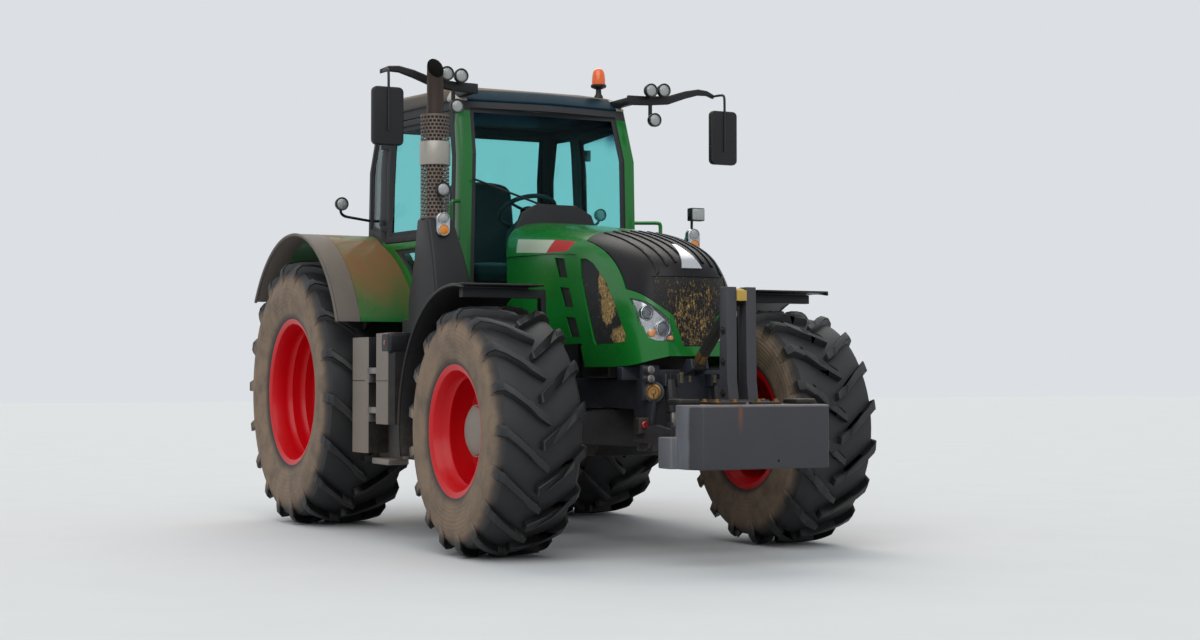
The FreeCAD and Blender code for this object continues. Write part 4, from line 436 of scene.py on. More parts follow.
materials |= {
    "ballast": ballast_paint(), "cloth": cloth(), "nose_mesh": nose_mesh(),
    # the second colour of each mesh is its holes, painted dark as the shade seen through them
    "side_mesh": mesh_grille("side_mesh", 0.008, "191b22", "101218",
                             [(-2.935, 1.585, 0.045, 0.09), (-3.02, 1.43, 0.09, 0.12),
                              (-3.17, 1.25, 0.12, 0.06)]),
    "vent_mesh": mesh_grille("vent_mesh", 0.012, "17181a", "030303"),
}
print(len(materials), "finishes")

# %% [markdown]
# ## Making a piece
# A piece is drawn in a bmesh, closed, given its finish and hung on the body that carries it.
# Most pieces are a few turned, bent or folded shapes, so each shape has a helper, and build()
# lists them in one go.

# %%
def piece(name, bm, body, finish, replaces=(), smooth=32, more=()):
    """Turns a drawn mesh into a finished piece; more lists extra finishes."""
    bmesh.ops.remove_doubles(bm, verts=bm.verts, dist=1e-5)
    bmesh.ops.recalc_face_normals(bm, faces=bm.faces)
    mesh = bpy.data.meshes.new(name)
    bm.to_mesh(mesh)
    bm.free()
    for key in (finish, *more):
        mesh.materials.append(materials[key])
    mesh.shade_smooth()
    mesh.set_sharp_from_angle(angle=math.radians(smooth))
    made = bpy.data.objects.new(name, mesh)
    scene.collection.objects.link(made)
    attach(made, body)
    if replaces:
        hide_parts(*replaces)
    return made


def build(name, body, finish, *shapes, **options):
    """A piece of several shapes, each one a helper followed by its arguments."""
    bm = bmesh.new()
    for helper, *details in shapes:
        helper(bm, *details)
    return piece(name, bm, body, finish, **options)


def copied(source, target):
    """Adds a copy of one drawn mesh to another."""
    shape = bpy.data.meshes.new("copy")
    source.to_mesh(shape)
    target.from_mesh(shape)
    bpy.data.meshes.remove(shape)


def from_solid(node, degrees=1.5):
    """A working copy of a CAD solid, its triangles merged into flat faces."""
    bm = bmesh.new()
    bm.from_mesh(frame["nodes"][node].data)
    bmesh.ops.remove_doubles(bm, verts=bm.verts, dist=0.0002)
    if degrees:
        bmesh.ops.dissolve_limit(bm, angle_limit=math.radians(degrees), verts=bm.verts,
                                 edges=bm.edges)
    return bm


def cut(bm, point, normal, clear_outer=False):
    """Cuts every face along a plane, and may drop what lies beyond it."""
    bmesh.ops.bisect_plane(bm, geom=bm.verts[:] + bm.edges[:] + bm.faces[:], plane_co=point,
                           plane_no=normal, clear_outer=clear_outer)


def rounded(bm, edges, width, segments=2):
    """Bevels the given edges to a round of about that width."""
    bmesh.ops.bevel(bm, geom=list(edges), offset=width, offset_type="OFFSET", segments=segments,
                    profile=0.5, affect="EDGES", clamp_overlap=True, material=-1)


def sharp_edges(bm, degrees=30):
    """Edges whose two faces meet at more than that angle."""
    limit = math.radians(degrees)
    return [e for e in bm.edges if len(e.link_faces) == 2 and e.calc_face_angle() > limit]


def soften(node, finish, width):
    """A CAD solid with its edges rounded, which stands for the solid."""
    bm = from_solid(node)
    rounded(bm, sharp_edges(bm), width)
    piece(node + "_skin", bm, body_of[node], finish, (node,))


def block(bm, low, high, width=0.004, segments=2):
    """A block between two corners, in any order, with rounded edges."""
    low, high = Vector(map(min, low, high)), Vector(map(max, low, high))
    size = high - low
    place = Matrix.Translation((low + high) / 2) @ Matrix.Diagonal((*size, 1))
    made = bmesh.ops.create_cube(bm, size=1, matrix=place)
    if width:
        edges = {e for v in made["verts"] for e in v.link_edges}
        rounded(bm, edges, min(width, min(size) * 0.45), segments)


def pillow(bm, low, high, corner, segments, edge):
    """A block with wide corners as seen from the front, and small rounds elsewhere."""
    block(bm, low, high, 0)
    rounded(bm, [e for e in bm.edges if abs(e.verts[0].co.y - e.verts[1].co.y) > 0.02], corner,
            segments)
    rounded(bm, sharp_edges(bm, 60), edge, 3)


def spun(bm, centre, axis, profile, steps=32, closed=False):
    """Spins a profile of (distance along the axis, radius) full circle."""
    axis = Vector(axis).normalized()
    side = axis.orthogonal().normalized()
    line = [bm.verts.new(Vector(centre) + axis * a + side * r) for a, r in profile]
    edges = [bm.edges.new(pair) for pair in zip(line, line[1:])]
    if closed:
        edges.append(bm.edges.new((line[-1], line[0])))
    bmesh.ops.spin(bm, geom=line + edges, cent=centre, axis=axis, angle=math.tau, steps=steps,
                   use_merge=True)
    bmesh.ops.remove_doubles(bm, verts=bm.verts, dist=1e-5)


def plate(bm, outline, thickness, width=0.003):
    """A flat outline given depth along a vector, its edges rounded."""
    face = bm.faces.new([bm.verts.new(Vector(p)) for p in outline])
    grown = bmesh.ops.extrude_face_region(bm, geom=[face])["geom"]
    verts = [g for g in grown if isinstance(g, bmesh.types.BMVert)]
    bmesh.ops.translate(bm, verts=verts, vec=Vector(thickness))
    if width:
        around = {e for v in verts for e in v.link_edges} | set(face.edges)
        bmesh.ops.recalc_face_normals(bm, faces=bm.faces)
        rounded(bm, around, width)


def swept(bm, points, radius, bevel=1):
    """A round bar along points, its bends smoothed, added to a mesh."""
    curve = bpy.data.curves.new("sweep", "CURVE")
    curve.dimensions = "3D"
    curve.bevel_depth = radius
    curve.bevel_resolution = bevel
    curve.use_fill_caps = True
    curve.resolution_u = 6
    spline = curve.splines.new("NURBS")
    spline.points.add(len(points) - 1)
    for point, where in zip(spline.points, points):
        point.co = (*where, 1)
    spline.use_endpoint_u = True
    spline.order_u = 3
    holder = bpy.data.objects.new("sweep", curve)
    mesh = bpy.data.meshes.new_from_object(holder)
    bm.from_mesh(mesh)
    bpy.data.objects.remove(holder)
    bpy.data.curves.remove(curve)
    bpy.data.meshes.remove(mesh)


def lofted(bm, rings):
    """A bar through rings of corners; returns each ring's vertices."""
    verts = [bm.verts.new(p) for p in rings[0]]
    face = bm.faces.new(verts)
    made = [verts]
    for ring in rings[1:]:
        grown = bmesh.ops.extrude_face_region(bm, geom=[face])["geom"]
        face = next(g for g in grown if isinstance(g, bmesh.types.BMFace))
        ends = [loop.vert for loop in face.loops]
        verts = [min(ends, key=lambda v, p=p: (v.co - p).length)
                 for p in [v.co.copy() for v in verts]]
        for vert, where in zip(verts, ring):
            vert.co = where
        made.append(verts)
    return made


def screws(bm, places, axis, radius, height):
    """Hexagon heads on washers at several places."""
    for where in places:
        spun(bm, where, axis, [(0, radius * 1.5), (height * 0.3, radius * 1.45),
                               (height * 0.3, radius), (height, radius * 0.95), (height, 0)], 6)


forward = Vector((0, -1, 0))
upright = Vector((0, 0, 1))
SIDES = ((1, "left"), (-1, "right"))
print("piece helpers ready")

# %% [markdown]
# ## Tyres
# A drive tyre is a smooth carcass with two rows of bars, half a pitch apart.  The bars start at
# the crown, sweep back and run down the shoulder.  Displacing a tread pattern would take a very
# fine mesh, so one bar is lofted and then spun round the axle as copies.

# %%
CARCASS_STEPS = 72
SWEEP = 17  # how far a bar's outer end trails its crown, in degrees


def lug(bm, centre, side, radius, rows):
    """One bar: rows are (across, lag in degrees, tip radius, foot radius, half width)."""
    rings = []
    for across, lag, tip, foot, half in rows:
        turns = [math.radians(-lag) + edge * half / radius for edge in (-1, 1)]
        corners = ((turns[0], foot), (turns[0], tip), (turns[1], tip), (turns[1], foot))
        rings.append([Vector(centre) + Vector((side * across, math.cos(a) * r, math.sin(a) * r))
                      for a, r in corners])
    return {v for ring in lofted(bm, rings) for v in ring[1:3]}


def tyre(side, word, end, radius, bead, width, rim_half, depth, pitches):
    """Carcass and bars of one tyre."""
    name = "%s_%s_tyre" % (word, end)
    centre = middle(name)
    half = width / 2
    crown = radius - depth
    wall = crown - bead
    line = [(rim_half - 0.012, bead + 0.001), (rim_half - 0.002, bead + 0.018),
            (rim_half + 0.004, bead + 0.03), (rim_half + 0.016, bead + 0.1 * wall + 0.03),
            (half - 0.012, bead + 0.36 * wall), (half, bead + 0.53 * wall),
            (half - 0.004, bead + 0.68 * wall), (half - 0.02, bead + 0.84 * wall),
            (half - 0.048, crown - 0.014), (half - 0.1, crown - 0.002), (half * 0.4, crown)]
    bm = bmesh.new()
    spun(bm, centre, (1, 0, 0), line + [(-a, r) for a, r in reversed(line)], CARCASS_STEPS, True)
    rows = [(-0.024, 0, radius - 0.002, crown - 0.012, 0.024),
            (half * 0.16, SWEEP * 0.22, radius, crown - 0.012, 0.028),
            (half * 0.40, SWEEP * 0.52, radius - 0.001, crown - 0.012, 0.029),
            (half * 0.66, SWEEP * 0.80, radius - 0.005, crown - 0.014, 0.031),
            (half - 0.042, SWEEP, radius - 0.017, crown - 0.05, 0.034),
            (half - 0.012, SWEEP * 1.05, radius - 0.050, bead + 0.80 * wall, 0.036),
            (half - 0.004, SWEEP * 1.06, radius - 0.095, bead + 0.68 * wall, 0.030)]
    for row_side in (1, -1):
        bars = bmesh.new()
        crests = lug(bars, centre, row_side, radius, rows)
        bmesh.ops.recalc_face_normals(bars, faces=bars.faces)
        rounded(bars, [e for e in sharp_edges(bars, 35) if all(v in crests for v in e.verts)], 0.008)
        start = -math.pi / 2 + (0.25 * (1 - row_side)) * math.tau / pitches
        bmesh.ops.rotate(bars, verts=bars.verts, cent=centre,
                         matrix=Matrix.Rotation(start, 3, "X"))
        bmesh.ops.spin(bars, geom=bars.verts[:] + bars.edges[:] + bars.faces[:], cent=centre,
                       axis=(1, 0, 0), angle=math.tau * (pitches - 1) / pitches,
                       steps=pitches - 1, use_duplicate=True)
        copied(bars, bm)
        bars.free()
    layer = bm.verts.layers.float.new("reach")
    for vert in bm.verts:
        away = math.hypot(vert.co.y - centre.y, vert.co.z - centre.z)
        if away > radius:
            vert.co.y = centre.y + (vert.co.y - centre.y) * radius / away
            vert.co.z = centre.z + (vert.co.z - centre.z) * radius / away
        vert[layer] = (away - bead) / (radius - bead)
    piece(name + "_rubber", bm, body_of[name], "rubber", (name,))


print("a bar sweeps back", SWEEP, "degrees")

# %% [markdown]
# ## Rims
# A rim is pressed steel: a flange at each edge, a deep well between them and a dish bolted to the
# hub.  All of it is round, so one closed profile spun full circle makes it.  The rear dish lies
# deep inside with three ridges outward of it, the front one lies shallow round a hub cap.

# %%
# Wheels: axle end, tyre radius, bead radius, tyre width, half rim width, lug height, pitches
WHEELS = [
    ("rear", 0.912, 0.483, 0.640, 0.272, 0.052, 18),
    ("front", 0.712, 0.356, 0.540, 0.245, 0.046, 17),
]
PLATE = 0.012
VALVE_RADIUS = 0.262


def rear_dish(hub, well):
    """Profile of the rear dish and its three ridges, as (outward, radius)."""
    line = [(hub + 0.03, well), (hub, 0.185), (hub, 0.02), (hub + 0.045, 0.02),
            (hub + 0.05, 0.10), (hub + 0.03, 0.125), (hub + 0.022, 0.2),
            (hub + 0.05, well - 0.09), (hub + 0.07, well - 0.03), (hub + 0.085, well - 0.012)]
    for k in range(3):
        ridge = hub + 0.105 + 0.09 * k
        lift = 0.014 * k
        line += [(ridge + out, well + rise + lift) for out, rise in
                 ((0, -0.014), (0.012, -0.016), (0.03, -0.004), (0.06, 0), (0.075, -0.002))]
    return line


def front_dish(hub, well):
    """Profile of the front dish, as (outward, radius)."""
    return [(-0.02, well), (-0.03, 0.15), (hub, 0.15), (hub, 0.02), (-0.02, 0.02),
            (-0.02, 0.14), (-0.012, 0.16), (0.004, 0.225), (0.004, well - 0.035),
            (0.02, well - 0.006), (0.04, well), (0.12, well + 0.002), (0.132, well - 0.004),
            (0.146, well - 0.004), (0.160, well + 0.010), (0.190, well + 0.018)]


def rim_profile(bead, rim_half, well, dish):
    """Seat, outer flange, dish and inner flange in one closed line."""
    flange = bead + 0.022
    return [(-rim_half + PLATE, bead - 0.001), (rim_half - PLATE, bead - 0.001),
            (rim_half - 0.004, flange - 0.004), (rim_half, flange), (rim_half, flange - 0.006),
            (rim_half - PLATE, bead - 0.012), *reversed(dish), (-rim_half + 0.05, well),
            (-rim_half + 0.004, bead - 0.012), (-rim_half, flange),
            (-rim_half + 0.006, flange - 0.002)]


print("rim profiles for", len(WHEELS), "axle ends")

# %% [markdown]
# ## Wheels put together
# Each wheel is tyre, rim and ten nuts; a front wheel adds its valve hole and the grey hub cap.
# All of them ride on the wheel's body, so that they turn with it.

# %%
for end, radius, bead, width, rim_half, depth, pitches in WHEELS:
    rear = end == "rear"
    hub = -0.175 if rear else -0.060
    well = bead - (0.058 if rear else 0.048)
    profile = rim_profile(bead, rim_half, well, (rear_dish if rear else front_dish)(hub, well))
    face = hub + 0.028 if rear else -0.006
    ring = 0.155 if rear else 0.19
    for side, word in SIDES:
        tyre(side, word, end, radius, bead, width, rim_half, depth, pitches)
        name = "%s_%s_rim" % (word, end)
        centre = middle(name)
        out = (side, 0, 0)
        build(name + "_steel", body_of[name], "red", (spun, centre, out, profile, 64, True),
              replaces=(name,))
        turns = [math.tau * k / 10 for k in range(10)]
        build(name + "_nuts", body_of[name], "steel", *[
            (spun, centre + Vector((side * face, math.cos(a) * ring, math.sin(a) * ring)), out,
             [(-0.01, 0.019), (0.006, 0.019), (0.008, 0.014), (0.026, 0.013), (0.026, 0)], 6)
            for a in turns])
        if rear:
            continue
        hole = centre + Vector((side * 0.002, -0.5 * VALVE_RADIUS, -0.86 * VALVE_RADIUS))
        build(name + "_valve_hole", body_of[name], "hose",
              (spun, hole, out, [(0.0, 0.016), (0.0035, 0.016), (0.0035, 0.0)], 16))
        build(name + "_cap", body_of[name], "hub",
              (spun, centre, out, [(-0.03, 0.148), (0.09, 0.146), (0.118, 0.138), (0.134, 0.112),
                                   (0.139, 0.06), (0.140, 0)], 40),
              (spun, centre, out, [(0.105, 0.149), (0.11, 0.1485), (0.11, 0.142)], 40))
print("wheels:", len(WHEELS) * len(SIDES))

# %% [markdown]
# ## Castings, plates and links
# Cast housings and welded plates keep the solids' shapes.  They could be drawn anew, but rounding
# their edges is what makes them read as cast and flame-cut parts, because every edge then
# catches a line of light.

# %%
# Solids that only need rounded edges: finish, rounding width, names
SOFTENED = [
    ("iron", 0.012, ["transmission", "engine", "rear_axle", "front_axle", "left_knuckle",
                     "right_knuckle"]),
    ("frame", 0.005, ["front_frame", "front_hitch_frame", "front_lift_arms", "rear_hitch",
                      "lift_arms", "lift_rods", "lower_links"]),
    ("plastic", 0.012, ["radiator", "tanks", "seat_pedestal", "cowl"]),
    ("trim", 0.02, ["dashboard"]),
    ("plastic", 0.004, ["left_front_fender", "right_front_fender"]),
    ("iron", 0.003, ["front_cylinders", "rear_top_link"]),
    ("steel", 0.002, ["front_rods"]),
    ("trim", 0.006, ["left_door", "right_door"]),
]
for finish, width, names in SOFTENED:
    for name in names:
        soften(name, finish, width)
print("softened:", sum(len(row[2]) for row in SOFTENED))

# %% [markdown]
# ## Steps
# Each side has two box columns with pale covers.  Folded steel treads hang in the dark gap
# between them, and the front column carries a dark cap with a small red switch.  The columns are
# the solid itself, cut along the covers' edges so that each part gets its own finish.

# %%
GAP_Y = (-1.372, -1.209)
CAP_Y = -1.590
SEAM_HEIGHT = 0.990
bm = from_solid("steps")
for where_y in (CAP_Y, *GAP_Y):
    cut(bm, at(0, where_y, 0), (0, 1, 0))
for face in bm.faces:
    where = face.calc_center_median() - at(0, 0, 0)
    in_gap = GAP_Y[0] - 0.001 < where.y < GAP_Y[1] + 0.001
    under = where.z < 0.72 and abs(where.x) < 1.05
    face.material_index = 1 if in_gap or where.y < CAP_Y or under else 0
rounded(bm, sharp_edges(bm), 0.014, 3)
piece("step_columns", bm, "chassis", "column", ("steps",), more=("plastic",))
for side, word in SIDES:
    treads = []
    for z in (1.040, 0.790):
        treads += [(block, at(side * 1.01, -1.369, z - 0.004), at(side * 1.140, -1.212, z + 0.036),
                    0.005)]
        treads += [(block, at(side * 1.05, y, z - 0.060), at(side * 1.138, y + 0.012, z + 0.01),
                    0.003) for y in (-1.369, -1.224)]
    build(word + "_step_treads", "chassis", "steel", *treads,
          (block, at(side * 1.01, -1.578, 0.468), at(side * 1.140, -1.292, 0.506), 0.008))
    seams = [(block, at(side * 1.146, start, SEAM_HEIGHT),
              at(side * 1.1512, end, SEAM_HEIGHT + 0.005), 0)
             for start, end in ((-1.187, -0.963), (-1.587, -1.393))]
    build(word + "_step_trim", "chassis", "plastic",
          (block, at(side * 1.012, -1.622, 1.165), at(side * 1.153, -1.480, 1.294), 0.022, 3),
          *seams)
    build(word + "_step_switch", "chassis", "tail_red",
          (spun, at(side * 1.152, -1.550, 1.232), (side, 0, 0),
           [(-0.004, 0.017), (0.003, 0.016), (0.006, 0.009), (0.007, 0)], 18))
print("steps done")

# %% [markdown]
# ## Ballast block and its mast
# The block is one casting with generous rounds, and the mast is two flame-cut plates with sharp
# edges.  Both are one solid, so the edges are rounded in two groups, told apart by their height.

# %%
BLOCK_BACK = axle_y - 3.78
bm = from_solid("ballast")
rounded(bm, [e for e in sharp_edges(bm) if max(v.co.z for v in e.verts) < 0.875
             and max(v.co.y for v in e.verts) < BLOCK_BACK], 0.016, 3)
rounded(bm, [e for e in sharp_edges(bm, 60) if min(v.co.z for v in e.verts) > 0.9], 0.003)
piece("ballast_block", bm, "ballast", "ballast", ("ballast",))
details = []
for side, word in SIDES:
    details += [(spun, at(side * 0.094, -3.87, z), (side, 0, 0),
                 [(-0.004, 0.022), (0.004, 0.021), (0.004, 0.012), (0.012, 0.011), (0.012, 0)], 12)
                for z in (0.93, 1.10, 1.27)]
    details += [(block, at(side * 0.36 - 0.03, -3.86, 0.868), at(side * 0.36 + 0.03, -3.82, 0.905))]
for side, word in SIDES:
    details += [(block, at(side * 0.205, -3.985, 0.868), at(side * 0.02, -3.80, 0.884), 0.003),
                (block, at(side * 0.30, -3.985, 0.868), at(side * 0.43, -3.845, 0.900), 0.010)]
build("ballast_fasteners", "ballast", "plastic", *details)
build("ballast_bolts", "ballast", "brass",
      (screws, [at(x, -3.955, 0.884) for x in (-0.185, -0.075, 0.075, 0.185)], upright, 0.014, 0.016),
      (screws, [at(x, -3.825, 0.884) for x in (-0.185, 0.185)], upright, 0.014, 0.016),
      (spun, at(0.07, -4.166, 0.575), forward,
       [(-0.03, 0.014), (-0.004, 0.013), (-0.001, 0.006), (-0.001, 0)], 16))
build("mast_catch", "ballast", "catch",
      (plate, [at(-0.03, y, z) for y, z in ((-3.915, 1.43), (-3.84, 1.43), (-3.83, 1.47),
                                            (-3.86, 1.5), (-3.915, 1.485))], (0.06, 0, 0)))
soften("front_top_link", "hose", 0.004)
start, end = at(0, -3.43, 1.085), at(0, -3.87, 1.46)
sleeve = [(-0.03, 0.018), (-0.03, 0.031), (0.03, 0.031), (0.03, 0.018)]
build("top_link_sleeves", "front_top_link", "brass",
      *[(spun, start.lerp(end, k), (end - start).normalized(), sleeve, 16, True)
        for k in (0.12, 0.86)])
print("ballast from", *[[round(v, 3) for v in corner] for corner in extent("ballast")])

# %% [markdown]
# ## Front couplings
# Couplings for hydraulics and compressed air sit on the front frame beside the lift, where a
# driver can reach them: two short stubs, a large round coupling head and a capped block.  They
# are turned parts, so each is a profile spun round its own axis.

# %%
stub = [(0, 0.0), (0, 0.019), (0.05, 0.019), (0.052, 0.022), (0.068, 0.022), (0.070, 0.018),
        (0.070, 0)]
build("coupling_stubs", "chassis", "steel",
      *[(spun, at(-0.285, -3.345, z), forward, stub, 20) for z in (1.058, 1.008)])
head = at(-0.255, -3.385, 0.935), Vector((-0.62, -0.78, 0.05)).normalized()
build("coupling_flange", "chassis", "frame",
      (spun, *head, [(-0.075, 0), (-0.075, 0.030), (-0.045, 0.034), (-0.040, 0.056),
                     (-0.012, 0.058), (-0.010, 0.046), (-0.004, 0.044), (-0.004, 0)], 28),
      (block, at(-0.30, -3.34, 0.885), at(-0.19, -3.30, 1.085), 0.006))
build("coupling_disc", "chassis", "brass",
      (spun, *head, [(-0.006, 0.044), (0.004, 0.043), (0.008, 0.034), (0.004, 0.028),
                     (0.004, 0.016), (0.012, 0.013), (0.012, 0)], 28))
build("frame_fittings", "chassis", "fitting",
      *[(spun, at(x, -3.425, z), upright,
         [(0, 0), (0, r * 1.2), (0.010, r * 1.2), (0.011, r), (tall * 0.7, r),
          (tall * 0.7 + 0.001, r * 1.2), (tall, r * 1.2), (tall + 0.002, r), (tall + 0.002, 0)], 16)
        for x, z, r, tall in ((-0.100, 0.985, 0.012, 0.058), (-0.045, 0.990, 0.008, 0.032),
                              (0.115, 0.985, 0.010, 0.040))])
build("capped_block", "chassis", "plastic",
      (block, at(-0.335, -3.36, 0.700), at(-0.262, -3.29, 0.790), 0.010))
build("coupling_cap", "chassis", "tail_red",
      (spun, at(-0.300, -3.36, 0.752), forward,
       [(-0.004, 0.021), (0.012, 0.020), (0.016, 0.014), (0.016, 0)], 20))
print("front couplings done")

# %% [markdown]
# ## Bonnet surface
# The bonnet is one deep-drawn sheet, curved both ways.  A dense mesh pushed about by hand would
# show dents, so a coarse cage of seven cross-sections is subdivided into a smooth surface.

# %%
# Cross-sections: distance ahead of the rear axle, then half the outline from the top as (x, z)
BONNET = [
    (1.640, [(0, 2.015), (0.230, 2.004), (0.340, 1.945), (0.370, 1.850), (0.370, 1.213), (0.350, 1.075)]),
    (1.700, [(0, 2.012), (0.230, 2.000), (0.340, 1.940), (0.370, 1.845), (0.370, 1.213), (0.350, 1.075)]),
    (2.700, [(0, 1.905), (0.225, 1.896), (0.333, 1.845), (0.370, 1.750), (0.370, 1.213), (0.350, 1.075)]),
    (3.150, [(0, 1.795), (0.205, 1.775), (0.300, 1.700), (0.357, 1.520), (0.367, 1.213), (0.347, 1.075)]),
    (3.310, [(0, 1.715), (0.175, 1.690), (0.255, 1.615), (0.322, 1.455), (0.348, 1.233), (0.327, 1.087)]),
    (3.375, [(0, 1.655), (0.140, 1.632), (0.205, 1.555), (0.265, 1.435), (0.298, 1.245), (0.275, 1.110)]),
    (3.412, [(0, 1.560), (0.080, 1.545), (0.120, 1.490), (0.155, 1.400), (0.180, 1.240), (0.165, 1.135)]),
]


def cage(rings):
    """An open skin through mirrored half outlines, closed at its last ring."""
    bm = bmesh.new()
    rows = []
    for ahead, half in rings:
        points = [(-x, z) for x, z in reversed(half[1:])] + list(half)
        rows.append([at(x, -ahead, z) for x, z in points])
    verts = [bm.verts.new(p) for p in rows[0]]
    edges = [bm.edges.new(pair) for pair in zip(verts, verts[1:])]
    for row in rows[1:]:
        grown = bmesh.ops.extrude_edge_only(bm, edges=edges)["geom"]
        edges = [g for g in grown if isinstance(g, bmesh.types.BMEdge)]
        fresh = [g for g in grown if isinstance(g, bmesh.types.BMVert)]
        moved = {v: min(range(len(verts)), key=lambda k, v=v: (verts[k].co - v.co).length)
                 for v in fresh}
        verts = sorted(fresh, key=lambda v: moved[v])
        for vert, where in zip(verts, row):
            vert.co = where
    bm.faces.new(verts)
    return bm


def subdivided(bm, levels):
    """The smooth surface of a coarse cage."""
    mesh = bpy.data.meshes.new("cage")
    bm.to_mesh(mesh)
    bm.free()
    holder = bpy.data.objects.new("cage", mesh)
    scene.collection.objects.link(holder)
    modifier = holder.modifiers.new("smooth", "SUBSURF")
    modifier.levels = levels
    modifier.render_levels = levels
    bpy.context.view_layer.update()
    smooth = holder.evaluated_get(bpy.context.evaluated_depsgraph_get())
    shape = bpy.data.meshes.new_from_object(smooth)
    fine = bmesh.new()
    fine.from_mesh(shape)
    bpy.data.objects.remove(holder)
    bpy.data.meshes.remove(mesh)
    bpy.data.meshes.remove(shape)
    return fine


print("cage of", len(BONNET), "cross-sections")

# %% [markdown]
# ## Cutting the inserts out
# The nose, lamps and grilles lie flush in the sheet, with a hair's gap round them.  Modelled on
# their own they would never quite meet its curve, so they are cut out of the same surface, along
# planes that stand on their outlines.

# %%
def walls(outline, plane, gap=0.0):
    """The planes that bound a convex outline, (point, outward normal), shrunk by a gap."""
    def lift(p):
        return at(p[0], 0, p[1]) if plane == "xz" else at(0, p[0], p[1])
    middle_point = sum((lift(p) for p in outline), Vector()) / len(outline)
    deep = Vector((0, 1, 0)) if plane == "xz" else Vector((1, 0, 0))
    found = []
    for here, there in zip(outline, outline[1:] + outline[:1]):
        start = lift(here)
        normal = (lift(there) - start).cross(deep).normalized()
        if normal.dot(middle_point - start) > 0:
            normal = -normal
        found.append((start - normal * gap, normal))
    return found


def split(bm, bounds):
    """Cuts a skin along planes and takes out the faces inside all of them."""
    def within(face, slack=0.0):
        centre = face.calc_center_median()
        return all((centre - p).dot(n) < slack for p, n in bounds)
    for point, normal in bounds:
        near = [f for f in bm.faces if within(f, 0.12)]
        geom = list({v for f in near for v in f.verts}) + list({e for f in near for e in f.edges})
        bmesh.ops.bisect_plane(bm, geom=geom + near, plane_co=point, plane_no=normal)
    inside = [f for f in bm.faces if within(f)]
    taken = bmesh.new()
    copies = {}
    for face in inside:
        for vert in face.verts:
            if vert not in copies:
                copies[vert] = taken.verts.new(vert.co)
        taken.faces.new([copies[v] for v in face.verts])
    bmesh.ops.delete(bm, geom=inside, context="FACES")
    return taken


def kept(bm, bounds):
    """Only what lies inside the planes."""
    inner = split(bm, bounds)
    bm.free()
    return inner


def thickened(bm, depth):
    """Gives a skin depth towards the inside of the tractor."""
    bmesh.ops.recalc_face_normals(bm, faces=bm.faces)
    bm.normal_update()
    outward = sum((f.normal.dot(f.calc_center_median() - at(0, -2.6, 1.45)) * f.calc_area())
                  for f in bm.faces)
    if outward < 0:
        bmesh.ops.reverse_faces(bm, faces=bm.faces)
        bm.normal_update()
    bmesh.ops.solidify(bm, geom=bm.faces[:], thickness=depth)


NOSE = [(-0.300, 1.99), (-0.330, 1.515), (-0.238, 1.432), (-0.146, 1.362), (0.146, 1.362),
        (0.238, 1.432), (0.330, 1.515), (0.300, 1.99)]
CHIN = [(-0.150, 1.370), (-0.120, 1.298), (-0.080, 1.190), (0.080, 1.190), (0.120, 1.298),
        (0.150, 1.370)]
LAMP = [(0.329, 1.462), (0.280, 1.440), (0.215, 1.387), (0.168, 1.340), (0.132, 1.217),
        (0.236, 1.220), (0.280, 1.240), (0.318, 1.331)]
SIDE = [(-2.860, 1.225), (-2.690, 1.600), (-2.670, 1.715), (-2.740, 1.712), (-2.830, 1.680),
        (-2.990, 1.570), (-3.110, 1.430), (-3.235, 1.250), (-3.215, 1.212), (-2.880, 1.205)]
PANEL = [(-1.600, 1.780), (-2.330, 1.765), (-2.600, 1.745), (-2.640, 1.715), (-2.845, 1.225),
         (-2.700, 1.200), (-1.600, 1.010)]
skin = subdivided(cage(BONNET), 3)
surface = BVHTree.FromBMesh(skin)


def on_nose(x, z, behind=0.0):
    """The point of the bonnet's front at that width and height, set back by a distance."""
    hit = surface.ray_cast(at(x, -4.2, z), Vector((0, 1, 0)))[0]
    return hit + Vector((0, behind, 0))


def this_side(side):
    """The plane that keeps a cut on one side of the tractor."""
    return [(at(side * 0.2, 0, 0), Vector((-side, 0, 0)))]


GAP = 0.003
front = [(at(0, -2.665, 1.5), Vector((0, 1, 0)))]
far_front = [(at(0, -3.120, 1.5), Vector((0, 1, 0)))]
nose = split(skin, walls(NOSE, "xz") + front)
trimmed = walls(NOSE, "xz", GAP)
trimmed[3] = walls(NOSE, "xz")[3]
nose = kept(nose, trimmed + [(at(0, -2.665 - GAP, 1.5), Vector((0, 1, 0)))])
chin = kept(split(skin, walls(CHIN, "xz") + far_front), walls(CHIN, "xz", GAP) + far_front)
lamps, sides, vents, panels = [], [], [], []
for side, word in SIDES:
    lamp = [(side * x, z) for x, z in LAMP]
    lamps.append(kept(split(skin, walls(lamp, "xz") + far_front),
                      walls(lamp, "xz", GAP) + far_front))
    half = this_side(side)
    sides.append(kept(split(skin, walls(SIDE, "yz") + half), walls(SIDE, "yz", GAP) + half))
    for k in range(3):
        y, z = -2.322 - 0.082 * k, 1.740 - 0.181 * k
        vent = [(y, z), (y - 0.128, z - 0.012), (y - 0.186, z - 0.130), (y - 0.068, z - 0.120)]
        vents.append(split(skin, walls(vent, "yz") + half))
    panels.append(kept(split(skin, walls(PANEL, "yz") + half), walls(PANEL, "yz", 0.002) + half))
print("bonnet skin cut into", 3 + len(lamps) + len(sides) + len(vents) + len(panels), "inserts")

# %% [markdown]
# ## Shell and side inserts
# The green shell keeps a hem along its edges.  The band along its upper side, pale with a red
# end, is painted on and carries no words, so it is only another finish on the same faces.  The
# side inserts are set back a few millimetres, which gives them a shadow line.

# %%
def paint(bm, bounds, index):
    """Gives another finish to the part of a skin inside planes."""
    taken = split(bm, bounds)
    for face in taken.faces:
        face.material_index = index
    copied(taken, bm)
    taken.free()
    bmesh.ops.remove_doubles(bm, verts=bm.verts, dist=1e-5)


